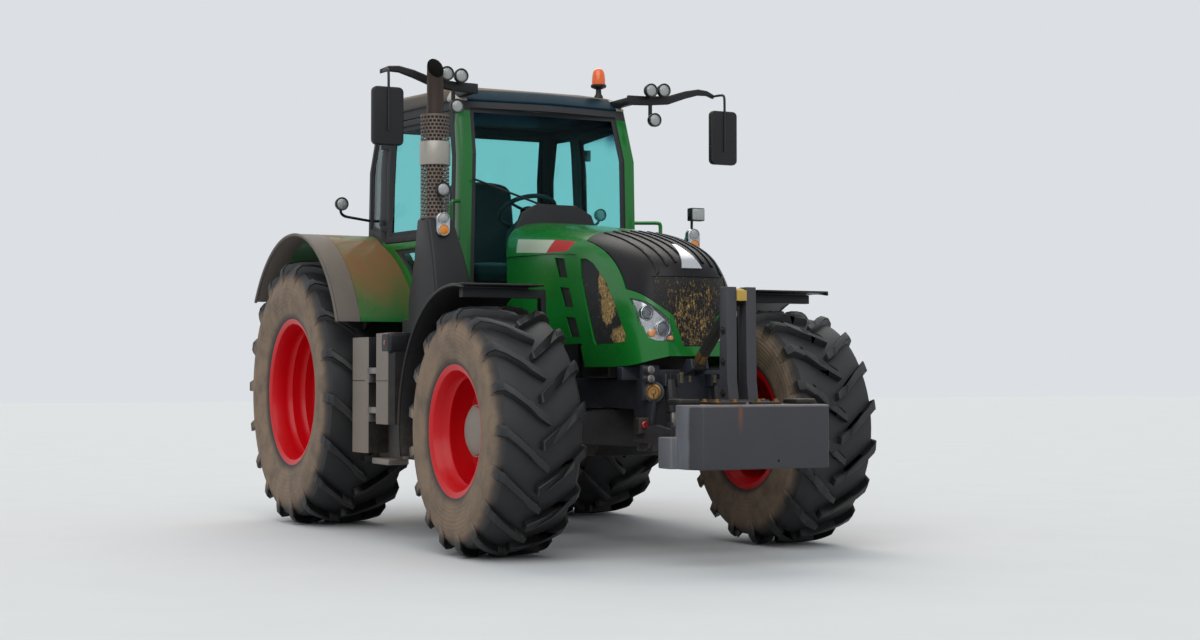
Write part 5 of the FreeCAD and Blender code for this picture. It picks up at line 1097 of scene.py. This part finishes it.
# Outlines as (y, z): what is cut away below the sheet, and the two colours of the band
ARCH = [(-1.600, 1.400), (-2.180, 1.340), (-2.420, 1.213), (-2.420, 1.0), (-1.600, 1.0)]
SILL = [(-2.419, 1.213), (-2.690, 1.213), (-2.740, 1.0), (-2.419, 1.0)]
BAND = [(-1.790, 1.886), (-2.300, 1.850), (-2.220, 1.775), (-1.790, 1.800)]
TIP = [(-2.302, 1.850), (-2.560, 1.825), (-2.500, 1.770), (-2.222, 1.775)]
for source in (skin, *panels):
    for outline in (ARCH, SILL):
        split(source, walls(outline, "yz")).free()
for side, word in SIDES:
    for index, outline in ((1, BAND), (2, TIP)):
        paint(skin, walls(outline, "yz") + this_side(side), index)
thickened(skin, 0.014)
piece("bonnet_shell", skin, "bonnet", "green", ("bonnet",), 38, ("band", "band_red"))
# Inserts, how many there are on a side, name, how far set back, depth, finish, solid, smoothing
INSERTS = [(panels, 1, "side_panel_%d", 0.009, 0.006, "green", (), 38),
           (vents, 3, "side_vent_%d", 0.020, 0.004, "vent_mesh", (), 32),
           (sides, 1, "side_grille_%d", 0.010, 0.008, "side_mesh", ("side_grilles",), 32)]
for skins, each, name, inward, depth, finish, solid, smooth in INSERTS:
    for k, insert in enumerate(skins):
        step = -inward if k < each else inward
        bmesh.ops.translate(insert, verts=insert.verts, vec=(step, 0, 0))
        thickened(insert, depth)
        piece(name % k, insert, "bonnet", finish, solid, smooth)
print("bonnet shell and its side inserts done")

# %% [markdown]
# ## Nose
# A black panel with eight ribs stands over a V of punched sheet, with a blank badge between
# them.  Ribs could be laid on as bars, but strips of the panel's own surface, thickened
# outwards, follow its curve exactly.

# %%
RIB_HALF = 0.008
BROW = 1.585
brow = [(at(0, 0, BROW), Vector((0, 0, -1)))]
for k in range(8):
    x = 0.058 * (k - 3.5)
    strip = bmesh.new()
    copied(nose, strip)
    rib = kept(strip, [(at(x - RIB_HALF, 0, 0), Vector((-1, 0, 0))),
                       (at(x + RIB_HALF, 0, 0), Vector((1, 0, 0))),
                       (at(0, -2.700, 0), Vector((0, 1, 0))), (at(0, -3.345, 0), forward)] + brow)
    thickened(rib, -0.0075)
    rounded(rib, sharp_edges(rib, 50), 0.003, 1)
    piece("nose_rib_%d" % k, rib, "bonnet", "nose_black", (), 60)
mouth = split(nose, [(at(0, 0, BROW), upright)]
              + [(at(side * 0.235, 0, 0), Vector((side, 0, 0))) for side in (-1, 1)])
for source, name in ((mouth, "nose_mesh_panel"), (chin, "nose_chin_panel")):
    bmesh.ops.translate(source, verts=source.verts, vec=(0, 0.006, 0))
    thickened(source, 0.010)
    piece(name, source, "bonnet", "nose_mesh", (), 60)
badge = kept(subdivided(cage(BONNET), 3),
             walls([(-0.072, 1.625), (0.060, 1.625), (0.012, 1.775), (-0.014, 1.775)], "xz")
             + far_front)
bmesh.ops.translate(badge, verts=badge.verts, vec=(0, -0.006, 0.008))
thickened(badge, 0.012)
piece("nose_badge_blank", badge, "bonnet", "silver", (), 60)
thickened(nose, 0.014)
piece("nose_panel", nose, "bonnet", "nose_black", ("nose_grille",), 60)
build("nose_frame_bars", "bonnet", "plastic",
      *[(swept, [at(side * 0.012, -3.389, 1.225), at(side * 0.10, -3.386, 1.33),
                 at(side * 0.20, -3.352, 1.46)], 0.009) for side, word in SIDES],
      (swept, [at(-0.19, -3.352, 1.555), at(0, -3.392, 1.55), at(0.19, -3.352, 1.555)], 0.008))
print("nose done")

# %% [markdown]
# ## Headlamps
# A headlamp is a chrome bowl behind a clear cover, with two round projectors and amber
# indicators in it.  The cover is the piece cut out of the bonnet, and the bowl is a copy of it
# set back, so the lamp fills its opening whatever the bonnet's curve.

# %%
HOUSING_DEPTH = 0.045
# Round projectors and indicators: half width, height, radius
PROJECTORS = [(0.272, 1.378, 0.042), (0.192, 1.288, 0.045)]
INDICATORS = [(0.252, 1.262, 0.022), (0.148, 1.236, 0.014)]
for k, lamp in enumerate(lamps):
    side = SIDES[k][0]
    shell = bmesh.new()
    copied(lamp, shell)
    bmesh.ops.extrude_edge_only(shell, edges=[e for e in shell.edges if e.is_boundary])
    bmesh.ops.translate(shell, verts=shell.verts, vec=(0, HOUSING_DEPTH, 0))
    thickened(shell, 0.003)
    piece("headlamp_housing_%d" % k, shell, "bonnet", "chrome", ("headlamps",))
    thickened(lamp, 0.002)
    piece("headlamp_cover_%d" % k, lamp, "bonnet", "cover")
    rings, domes, bowls = [], [], []
    for x, z, r in PROJECTORS:
        seat = on_nose(side * x, z, 0.026)
        rings.append((spun, seat, forward, [(-0.03, r * 0.9), (0.0, r), (0.009, r),
                                            (0.011, r * 0.93), (0.006, r * 0.84),
                                            (-0.006, r * 0.80)], 28))
        domes.append((spun, seat, forward, [(-0.006, r * 0.8), (0.002, r * 0.72),
                                            (0.008, r * 0.45), (0.010, 0)], 28))
        bowls.append((spun, seat, forward, [(-0.010, r * 0.86), (-0.012, r * 0.5), (-0.012, 0)],
                      24))
    build("headlamp_rings_%d" % k, "bonnet", "chrome", *rings)
    build("headlamp_lenses_%d" % k, "bonnet", "bulb", *domes)
    build("headlamp_bowls_%d" % k, "bonnet", "hose", *bowls)
    build("indicator_%d" % k, "bonnet", "amber",
          *[(spun, on_nose(side * x, z, 0.016), forward,
             [(-0.02, r), (0.002, r), (0.008, r * 0.6), (0.009, 0)], 20)
            for x, z, r in INDICATORS])
print("headlamps done")

# %% [markdown]
# ## Cab windows
# Panes are glued behind black printed borders.  A border could be a frame of its own, but it has
# no thickness, so each pane's face is inset and the ring of faces gets the dark finish.

# %%
for node in ("cab_glass", "left_door_glass", "right_door_glass"):
    bm = from_solid(node, 14)
    wide = {f for f in bm.faces if f.calc_area() > 0.05}
    bmesh.ops.inset_region(bm, faces=[f for f in bm.faces if f in wide], thickness=0.030,
                           use_boundary=True, use_even_offset=True)
    for face in bm.faces:
        face.material_index = 0 if face in wide else 1
    piece(node + "_panes", bm, body_of[node], "glass", (node,), 20, ("trim",))
print("cab glazed")

# %% [markdown]
# ## Cab frame and roof
# The cab's welded frame is green outside and lined with dark trim inside, above the windscreen
# and behind.  Cutting the solid along those borders lets each face have its own finish.  The
# roof is a soft moulded shell with a tinted visor between two pale corners.

# %%
HEADER_Z = 2.735
WAIST_Z = 1.93
REAR_PART = axle_y - 1.40
HEADER_HALF = 0.60
shell = from_solid("cab_frame")
for point, normal in (((0, 0, HEADER_Z), upright), ((0, REAR_PART, 0), (0, 1, 0)),
                      ((0, 0, WAIST_Z), upright)):
    cut(shell, point, normal)
for face in shell.faces:
    where = face.calc_center_median()
    header = where.z > HEADER_Z and abs(where.x) < HEADER_HALF
    inside = face.normal.dot(where - at(0, -0.8, where.z)) < 0
    behind = where.y > REAR_PART and where.z > WAIST_Z
    face.material_index = 1 if header or inside or behind else 0
rounded(shell, sharp_edges(shell), 0.006)
piece("cab_frame_skin", shell, "chassis", "green", ("cab_frame",), more=("trim",))

VISOR_HALF = 0.545
VISOR_REAR = -1.30
roof = from_solid("cab_roof", 4)
rounded(roof, sharp_edges(roof, 12), 0.03, 4)
for point, normal in ((at(0, VISOR_REAR, 0), (0, 1, 0)), ((VISOR_HALF, 0, 0), (1, 0, 0)),
                      ((-VISOR_HALF, 0, 0), (1, 0, 0))):
    cut(roof, point, normal)
for face in roof.faces:
    where = face.calc_center_median()
    if where.y < axle_y + VISOR_REAR:
        face.material_index = 1 if abs(where.x) < VISOR_HALF else 2
piece("cab_roof_shell", roof, "chassis", "roof", ("cab_roof",), 40, ("visor", "cap"))
print("cab frame and roof done")

# %% [markdown]
# ## Seat and steering wheel
# The seat is foam under cloth: a crowned cushion and a back.  A cloth simulation would swell
# them too, but these are firm, and half hidden behind glass, so a formula crowns them and pulls
# in their edges.  The wheel is a ring spun round its tilted axis, on three bent spokes.

# %%
def cushion(name, low, high, crown):
    """A padded block: subdivided, crowned and pulled in along its edges."""
    bm = bmesh.new()
    block(bm, low, high, 0)
    bmesh.ops.subdivide_edges(bm, edges=bm.edges[:], cuts=5, use_grid_fill=True)
    centre = (Vector(low) + Vector(high)) / 2
    size = (Vector(high) - Vector(low)) / 2
    for vert in bm.verts:
        rel = Vector([(vert.co[k] - centre[k]) / size[k] for k in range(3)])
        pull = 1 - 0.10 * min(1, abs(rel.x) ** 4 + abs(rel.y) ** 4) * abs(rel.z)
        swell = crown * (1 - rel.x ** 2) * (1 - rel.y ** 2) * (1 if rel.z > 0 else 0)
        vert.co = Vector([centre[k] + rel[k] * size[k] * pull for k in range(3)])
        vert.co.z += swell - crown
    made = piece(name, subdivided(bm, 1), "chassis", "cloth", ("seat_cushion",), 60)


cushion("seat_base", at(-0.26, -0.85, 1.665), at(0.26, -0.36, 1.81), 0.018)
cushion("seat_back", at(-0.25, -0.43, 1.72), at(0.25, -0.31, 2.39), 0.0)
tilt = Matrix.Rotation(math.radians(-28), 3, "X")
axis = tilt @ upright
hub = at(0, -1.24, 2.0) + axis * 0.14
grip = [(math.cos(math.tau * k / 10) * 0.016, 0.19 + math.sin(math.tau * k / 10) * 0.014)
        for k in range(10)]
spokes = []
for k in range(3):
    angle = math.tau * k / 3 + math.pi / 2
    outward = tilt @ Vector((math.cos(angle), math.sin(angle), 0))
    spokes.append((swept, [hub, hub + outward * 0.1 - axis * 0.008, hub + outward * 0.185], 0.010))
build("steering_wheel_rim", "chassis", "trim", (spun, hub, axis, grip, 40, True),
      (spun, hub, axis, [(-0.14, 0.026), (-0.02, 0.026), (-0.01, 0.05), (0.012, 0.045),
                         (0.016, 0)], 16), *spokes, replaces=("steering_wheel",))
print("cab fitted out")

# %% [markdown]
# ## Fenders
# The rear fenders are green sheet arches with a grey outer lip, and all fenders end in a rolled
# edge.  A bevel would only round the sheet's corner, so the roll is a bar swept along the arc,
# whose ends are read from the solid.

# %%
LIP_X = 1.115
bm = from_solid("rear_fenders", 0.5)
for side, word in SIDES:
    cut(bm, (side * LIP_X, 0, 0), (side, 0, 0))
for face in bm.faces:
    face.material_index = 1 if abs(face.calc_center_median().x) > LIP_X else 0
rounded(bm, sharp_edges(bm, 50), 0.003)
piece("rear_fender_skins", bm, "chassis", "green_dusty", ("rear_fenders",), 30, ("plastic_dusty",))


def hem(name, node, centre, radius, x, bar, body, finish):
    """A rolled edge that follows a fender's arc from end to end; turns count from its top."""
    points = [v.co for v in frame["nodes"][node].data.vertices if v.co.x * x > 0]
    widest = max(abs(p.x) for p in points)
    turns = [math.atan2(p.y - centre.y, p.z - centre.z) for p in points if abs(p.x) > widest - 0.03
             and abs(math.hypot(p.y - centre.y, p.z - centre.z) - radius) < 0.012]
    start, end = min(turns), max(turns)
    turns = [start + (end - start) * k / 24 for k in range(25)]
    stops = [Vector((x, centre.y + math.sin(a) * radius, centre.z + math.cos(a) * radius))
             for a in turns]
    build(name, body, finish, (swept, stops, bar, 2))
    print(name, "over", round(math.degrees(end - start)), "degrees")


REAR_ARC = at(0, -0.080, 0.985)
for side, word in SIDES:
    hem(word + "_rear_fender_hem", "rear_fenders", REAR_ARC, 1.009, side * 1.275, 0.011,
        "chassis", "plastic_dusty")
    hem(word + "_rear_fender_seam", "rear_fenders", REAR_ARC, 1.0125, side * LIP_X, 0.004,
        "chassis", "hose")
    hem(word + "_front_fender_hem", word + "_front_fender", at(0, -2.783, 0.712), 0.826,
        side * 1.217, 0.009, word + "_knuckle", "plastic")

# %% [markdown]
# ## Exhaust
# The hot pipe stands in a perforated guard.  Holes could be painted on as alpha, but the guard's
# edge shows against the sky, so a grid of faces is inset and the middles are taken out, as a
# punch would do.

# %%
stack = at(-0.880, -1.700, 0)


def punched(bm, centre, radius, low, high, around, rows):
    """A tube of punched sheet, each row of holes turned by half a pitch."""
    rise = (high - low) / rows
    for k in range(rows):
        ring = bmesh.new()
        ends = [ring.verts.new(centre + Vector((radius, 0, low + rise * (k + j)))) for j in (0, 1)]
        bmesh.ops.spin(ring, geom=ends + [ring.edges.new(ends)], cent=centre, axis=upright,
                       angle=math.tau, steps=around, use_merge=True)
        bmesh.ops.remove_doubles(ring, verts=ring.verts, dist=1e-5)
        turn = Matrix.Rotation(math.pi / around * (k % 2), 3, "Z")
        bmesh.ops.rotate(ring, verts=ring.verts, cent=centre, matrix=turn)
        cells = ring.faces[:]
        bmesh.ops.inset_individual(ring, faces=cells, thickness=rise * 0.19, use_even_offset=True)
        bmesh.ops.delete(ring, geom=cells, context="FACES")
        copied(ring, bm)
        ring.free()


GUARD = 0.090
build("exhaust_guard_mesh", "chassis", "guard", (punched, stack, GUARD, 2.010, 2.336, 22, 14),
      (punched, stack, GUARD, 2.480, 2.640, 22, 7), replaces=("exhaust",), smooth=180)
build("exhaust_guard_hoops", "chassis", "guard",
      *[(spun, stack, upright, [(low_z, GUARD - 0.02), (low_z, GUARD + 0.002),
                                (high_z, GUARD + 0.002), (high_z, GUARD - 0.02)], 40, True)
        for low_z, high_z in ((2.000, 2.012), (2.636, 2.650))])
build("exhaust_plate_blank", "chassis", "plate",
      (spun, stack, upright, [(2.337, GUARD - 0.002), (2.335, GUARD + 0.004),
                              (2.34, GUARD + 0.0065), (2.475, GUARD + 0.0065),
                              (2.48, GUARD + 0.004), (2.478, GUARD - 0.002)], 40, True))
print("guard punched")

# %% [markdown]
# ## Exhaust pipe and shroud
# The pipe bends back at its top and is sawn off at a slant.  Pipe and sooty bore are the same
# sweep with two radii, both cut by the saw's plane.  The black shroud at its foot is the solid's
# lower part, closed again and rounded.

# %%
BEND = [(0, 0, 2.74), (-0.004, -0.010, 2.84), (-0.016, -0.040, 2.95), (-0.030, -0.080, 3.08)]
saw = stack + Vector((-0.018, -0.045, 2.925)), Vector((-0.10, -0.84, 0.46)).normalized()
for name, finish, radius, foot in (("exhaust_pipe_outside", "pipe", 0.052, (1.99, 2.3, 2.62)),
                                   ("exhaust_pipe_bore", "soot", 0.0495, (2.70,))):
    pipe = bmesh.new()
    swept(pipe, [stack + Vector(p) for p in [(0, 0, z) for z in foot] + BEND], radius, 6)
    cut(pipe, *saw, clear_outer=True)
    piece(name, pipe, "chassis", finish)
shroud = from_solid("exhaust", 0)
cut(shroud, (0, 0, 2.004), upright, clear_outer=True)
bmesh.ops.dissolve_limit(shroud, angle_limit=math.radians(3), verts=shroud.verts, edges=shroud.edges)
bmesh.ops.holes_fill(shroud, edges=[e for e in shroud.edges if len(e.link_faces) == 1], sides=0)
rounded(shroud, sharp_edges(shroud, 35), 0.018, 3)
piece("exhaust_shroud", shroud, "chassis", "plastic", (), 40)
print("exhaust done")

# %% [markdown]
# ## Lamps and mirrors on the roof
# A work lamp is a pod with a thin ring and a ribbed lens, all turned, so one function makes all
# nine.  The mirrors hang from booms that taper outwards: a loft through a few sections gives the
# taper, which a swept bar can't.

# %%
def round_lamp(name, centre, axis, radius, depth, replaces=()):
    """A lamp pod: housing, ring and ribbed lens."""
    build(name + "_housing", "chassis", "plastic",
          (spun, centre, axis, [(0.002, radius * 0.90), (0.002, radius), (-0.012, radius),
                                (-depth * 0.55, radius * 0.92), (-depth * 0.9, radius * 0.66),
                                (-depth, 0.0)], 28), replaces=replaces)
    build(name + "_ring", "chassis", "plastic",
          (spun, centre, axis, [(-0.006, radius * 0.97), (0.005, radius), (0.006, radius * 0.94),
                                (0.002, radius * 0.80), (-0.006, radius * 0.80)], 28, True))
    build(name + "_lens", "chassis", "lens",
          (spun, centre, axis, [(-0.004, radius * 0.9), (0.0, radius * 0.8),
                                (0.005, radius * 0.45), (0.007, 0.0)], 28))


def boom(bm, side, stations):
    """A tapering bar through stations (x, z, half height) along a roof arm."""
    octagon = ((1, -0.7), (1, 0.7), (0.6, 1), (-0.6, 1), (-1, 0.7), (-1, -0.7), (-0.6, -1),
               (0.6, -1))
    lofted(bm, [[at(side * x, -1.586, z) + Vector((0, 0.014 * c, tall * s)) for c, s in octagon]
                for x, z, tall in stations])


LAMP_RADIUS = 0.046
ROOF_LAMPS = [(0.684, 2.918), (0.782, 2.925), (0.712, 2.723)]
BOOM = [(0.545, 2.853, 0.032), (0.70, 2.858, 0.030), (0.85, 2.872, 0.029), (0.98, 2.916, 0.026),
        (1.08, 2.940, 0.021), (1.15, 2.938, 0.017), (1.20, 2.918, 0.014)]
MIRROR_X, MIRROR_HALF, TUBE_Y = 1.2025, 0.1020, -1.7365
TAIL_LOW, TAIL_HIGH = 1.471, 1.559
tail_y = extent("road_lamps")[1].y
for side, word in SIDES:
    for k, (x, z) in enumerate(ROOF_LAMPS):
        round_lamp("%s_roof_lamp_%d" % (word, k), at(side * x, -1.660, z), forward, LAMP_RADIUS,
                   0.06, ("work_lamps",))
    round_lamp(word + "_fender_lamp", at(side * 1.0, -0.326, 2.200), forward, LAMP_RADIUS, 0.056,
               ("road_lamps",))
    build(word + "_fender_lamp_stalk", "chassis", "plastic",
          (swept, [at(side * x, y, z) for x, y, z in ((0.71, -0.09, 2.110), (0.86, -0.19, 2.116),
                                                      (1.0, -0.29, 2.122), (1.0, -0.295, 2.165))],
           0.010))
    x = side * MIRROR_X
    build(word + "_mirror_head", "chassis", "plastic",
          (pillow, at(x - MIRROR_HALF, -1.734, 2.442), at(x + MIRROR_HALF, -1.691, 2.804), 0.032,
           5, 0.010), replaces=("roof_arms",))
    build(word + "_mirror_glass", "chassis", "mirror",
          (block, at(x - 0.088, -1.693, 2.460), at(x + 0.088, -1.6905, 2.786), 0.001))
    build(word + "_mirror_tube", "chassis", "plastic",
          (swept, [at(side * 1.19, -1.60, 2.918)] + [
              at(side * 1.203, y, z) for y, z in ((-1.70, 2.918), (-1.732, 2.905), (TUBE_Y, 2.86),
                                                  (TUBE_Y, 2.60), (TUBE_Y, 2.53))], 0.0085, 2))
    build(word + "_roof_arm", "chassis", "plastic", (boom, side, BOOM),
          (block, at(side * 0.57 - 0.03, -1.598, 2.825), at(side * 0.57 + 0.03, -1.302, 2.875),
           0.01),
          (block, at(side * 0.712 - 0.012, -1.598, 2.705), at(side * 0.712 + 0.012, -1.582, 2.84),
           0.003))
    for name, x, half, near, far, inset, finish, width in (
            ("box", 1.065, 0.104, 0.05, 0.006, 0, "plastic", 0.006),
            ("lens", 1.03, 0.064, 0.012, 0.001, 0.008, "tail_red", 0.004)):
        build("%s_tail_lamp_%s" % (word, name), "chassis", finish,
              (block, Vector((side * x - half, tail_y - near, TAIL_LOW + inset)),
               Vector((side * x + half, tail_y - far, TAIL_HIGH - inset)), width))
round_lamp("right_round_lamp", at(-0.880, -1.840, 2.174), forward, LAMP_RADIUS, 0.052)
print("roof lamps, mirrors and tail lamps done")

# %% [markdown]
# ## Front lamps and the beacon
# In front of the cab stand a square lamp on an arm and two chrome combination lamps: an upright
# capsule with a clear and an amber eye.  The beacon is a turned dome on a waisted stem.

# %%
low, high = at(0.845, -1.911, 2.040), at(0.945, -1.850, 2.125)
build("left_square_lamp_housing", "chassis", "plastic", (block, low, high, 0.006))
build("left_square_lamp_lens", "chassis", "lens",
      (block, low + Vector((0.006, -0.003, 0.006)), Vector((high.x - 0.006, low.y + 0.01,
                                                            high.z - 0.006)), 0.003))
for name, x, y, z in (("left_chrome_lamp", 0.880, -1.886, 1.842),
                      ("right_chrome_lamp", -0.880, -1.844, 1.884)):
    build(name + "_body", "chassis", "chrome",
          (pillow, at(x - 0.045, y, z - 0.004), at(x + 0.045, y + 0.05, z + 0.150), 0.043, 6,
           0.008))
    for above, finish in ((0.110, "lens"), (0.040, "amber")):
        eye = at(x, y, z + above)
        build("%s_%s" % (name, finish), "chassis", finish,
              (spun, eye, forward, [(-0.004, 0.033), (0.002, 0.032), (0.007, 0.018), (0.009, 0)],
               24))
        build("%s_%s_ring" % (name, finish), "chassis", "chrome",
              (spun, eye, forward, [(-0.003, 0.037), (0.006, 0.036), (0.006, 0.032),
                                    (-0.003, 0.031)], 24, True))
    build(name + "_back", "chassis", "plastic",
          (spun, at(x, y + 0.048, z + 0.073), (0, 1, 0),
           [(0, 0.040), (0.022, 0.038), (0.040, 0.024), (0.046, 0)], 24))
build("left_lamp_arm", "chassis", "plastic",
      (swept, [at(0.645, -1.497, 1.900), at(0.74, -1.66, 1.900), at(0.852, -1.83, 1.900)], 0.013),
      (swept, [at(0.88, -1.85, 1.985), at(0.88, -1.852, 2.045)], 0.010))
lamp_foot = at(0.520, -1.210, 0)
build("beacon_lens", "chassis", "orange",
      (spun, lamp_foot, upright, [(3.0, 0.045), (3.01, 0.047), (3.035, 0.046), (3.06, 0.044),
                                  (3.09, 0.039), (3.108, 0.028), (3.117, 0.012), (3.1178, 0)], 32),
      (spun, lamp_foot, upright, [(3.0, 0.045), (2.999, 0.0)], 32), replaces=("beacon",))
build("beacon_stem", "chassis", "plastic",
      (spun, lamp_foot, upright, [(2.912, 0.032), (2.925, 0.030), (2.94, 0.020), (2.972, 0.018),
                                  (2.985, 0.050), (2.990, 0.053), (3.002, 0.053), (3.003, 0.0)],
       28))
print("lamps done")

# %% [markdown]
# ## Rails
# Grab rails are bent tube.  Straight tubes with mitred corners would look cut and welded, so
# each rail is one run of a round section through smooth bends.

# %%
left_rail = [at(0.790, -1.590, z) for z in (2.035, 1.98, 1.63, 1.57)]
left_ends = ((0.615, -1.500), (0.72, -1.548), (0.775, -1.585))
right_rail = [at(-0.685, -1.495, z) for z in (2.125, 2.06, 1.97, 1.915)]
right_ends = ((-0.625, -1.497), (-0.67, -1.496))
build("rails", "chassis", "green",
      (swept, [at(x, y, 2.045) for x, y in left_ends] + left_rail
       + [at(x, y, 1.560) for x, y in reversed(left_ends)], 0.013, 2),
      (swept, [at(x, y, 2.140) for x, y in right_ends] + right_rail
       + [at(x, y, 1.900) for x, y in reversed(right_ends)], 0.012, 2), replaces=("grab_rails",))
print("rails done")

# %% [markdown]
# ## Floor and light
# The object stands on a plain pale floor under two broad soft lamps.  A brighter world would
# wash its colours out, so the world is dim for diffuse light and pale only for the rays that see
# it: the camera's, and those in gloss and glass.

# %%
floor = bmesh.new()
bmesh.ops.create_grid(floor, x_segments=1, y_segments=1, size=60)
floor_mesh = bpy.data.meshes.new("floor")
floor.to_mesh(floor_mesh)
floor.free()
floor_object = bpy.data.objects.new("floor", floor_mesh)
scene.collection.objects.link(floor_object)
net = Net("floor_pale")
shade = net.noise(1.5, 3)
floor_mesh.materials.append(net.surface({"Base Color": net.mix(shade, "cfd0cf", "d6d7d6"),
                                         "Roughness": 0.85 + shade * 0.05}))
scene.world = bpy.data.worlds.new("studio")
sky = Net("studio", scene.world)
camera_ray, glossy_ray, clear_ray = [
    sky.add("ShaderNodeLightPath", out="Is %s Ray" % kind)
    for kind in ("Camera", "Glossy", "Transmission")]
seen = sky.math("MAXIMUM", sky.math("MAXIMUM", camera_ray, glossy_ray), clear_ray)
dim, pale = [sky.add("ShaderNodeBackground", {}, {"Color": colour, "Strength": strength})
             for colour, strength in (((0.86, 0.92, 1.0, 1), 0.55), (rgb("dce0e4"), 1.0))]
blend = sky.add("ShaderNodeMixShader", {}, {0: seen, 1: dim, 2: pale})
sky.add("ShaderNodeOutputWorld", {}, {0: blend})


def sun(name, direction, strength, spread, colour=(1, 1, 1)):
    """Even light from one direction; a wide spread softens its shadows."""
    lamp = bpy.data.lights.new(name, "SUN")
    lamp.energy = strength
    lamp.angle = math.radians(spread)
    lamp.color = colour
    holder = bpy.data.objects.new(name, lamp)
    holder.rotation_euler = Vector(direction).to_track_quat("-Z", "Y").to_euler()
    scene.collection.objects.link(holder)


sun("sky_front", (0.55, 0.75, -0.9), 1.5, 60)
sun("sky_back", (-0.3, -0.8, -1.0), 1.1, 50, (1, 0.96, 0.90))
print("two lamps over a pale floor")

# %% [markdown]
# ## Camera
# The camera stands where the picture was taken: low, ahead of the tractor's right front wheel.
# Its place and angle come from fitting the four wheels' circles, not from moving it by eye.

# %%
yaw, pitch = math.radians(27.3013), math.radians(1.6493)
view = Vector((math.sin(yaw) * math.cos(pitch), math.cos(yaw) * math.cos(pitch), math.sin(pitch)))
lens_data = bpy.data.cameras.new("photographer")
lens_data.sensor_width = 36
lens_data.lens = 57.14
camera = bpy.data.objects.new("photographer", lens_data)
camera.location = (-5.39972, -11.19277, 1.0296)
camera.rotation_euler = view.to_track_quat("-Z", "Y").to_euler()
scene.collection.objects.link(camera)
scene.camera = camera
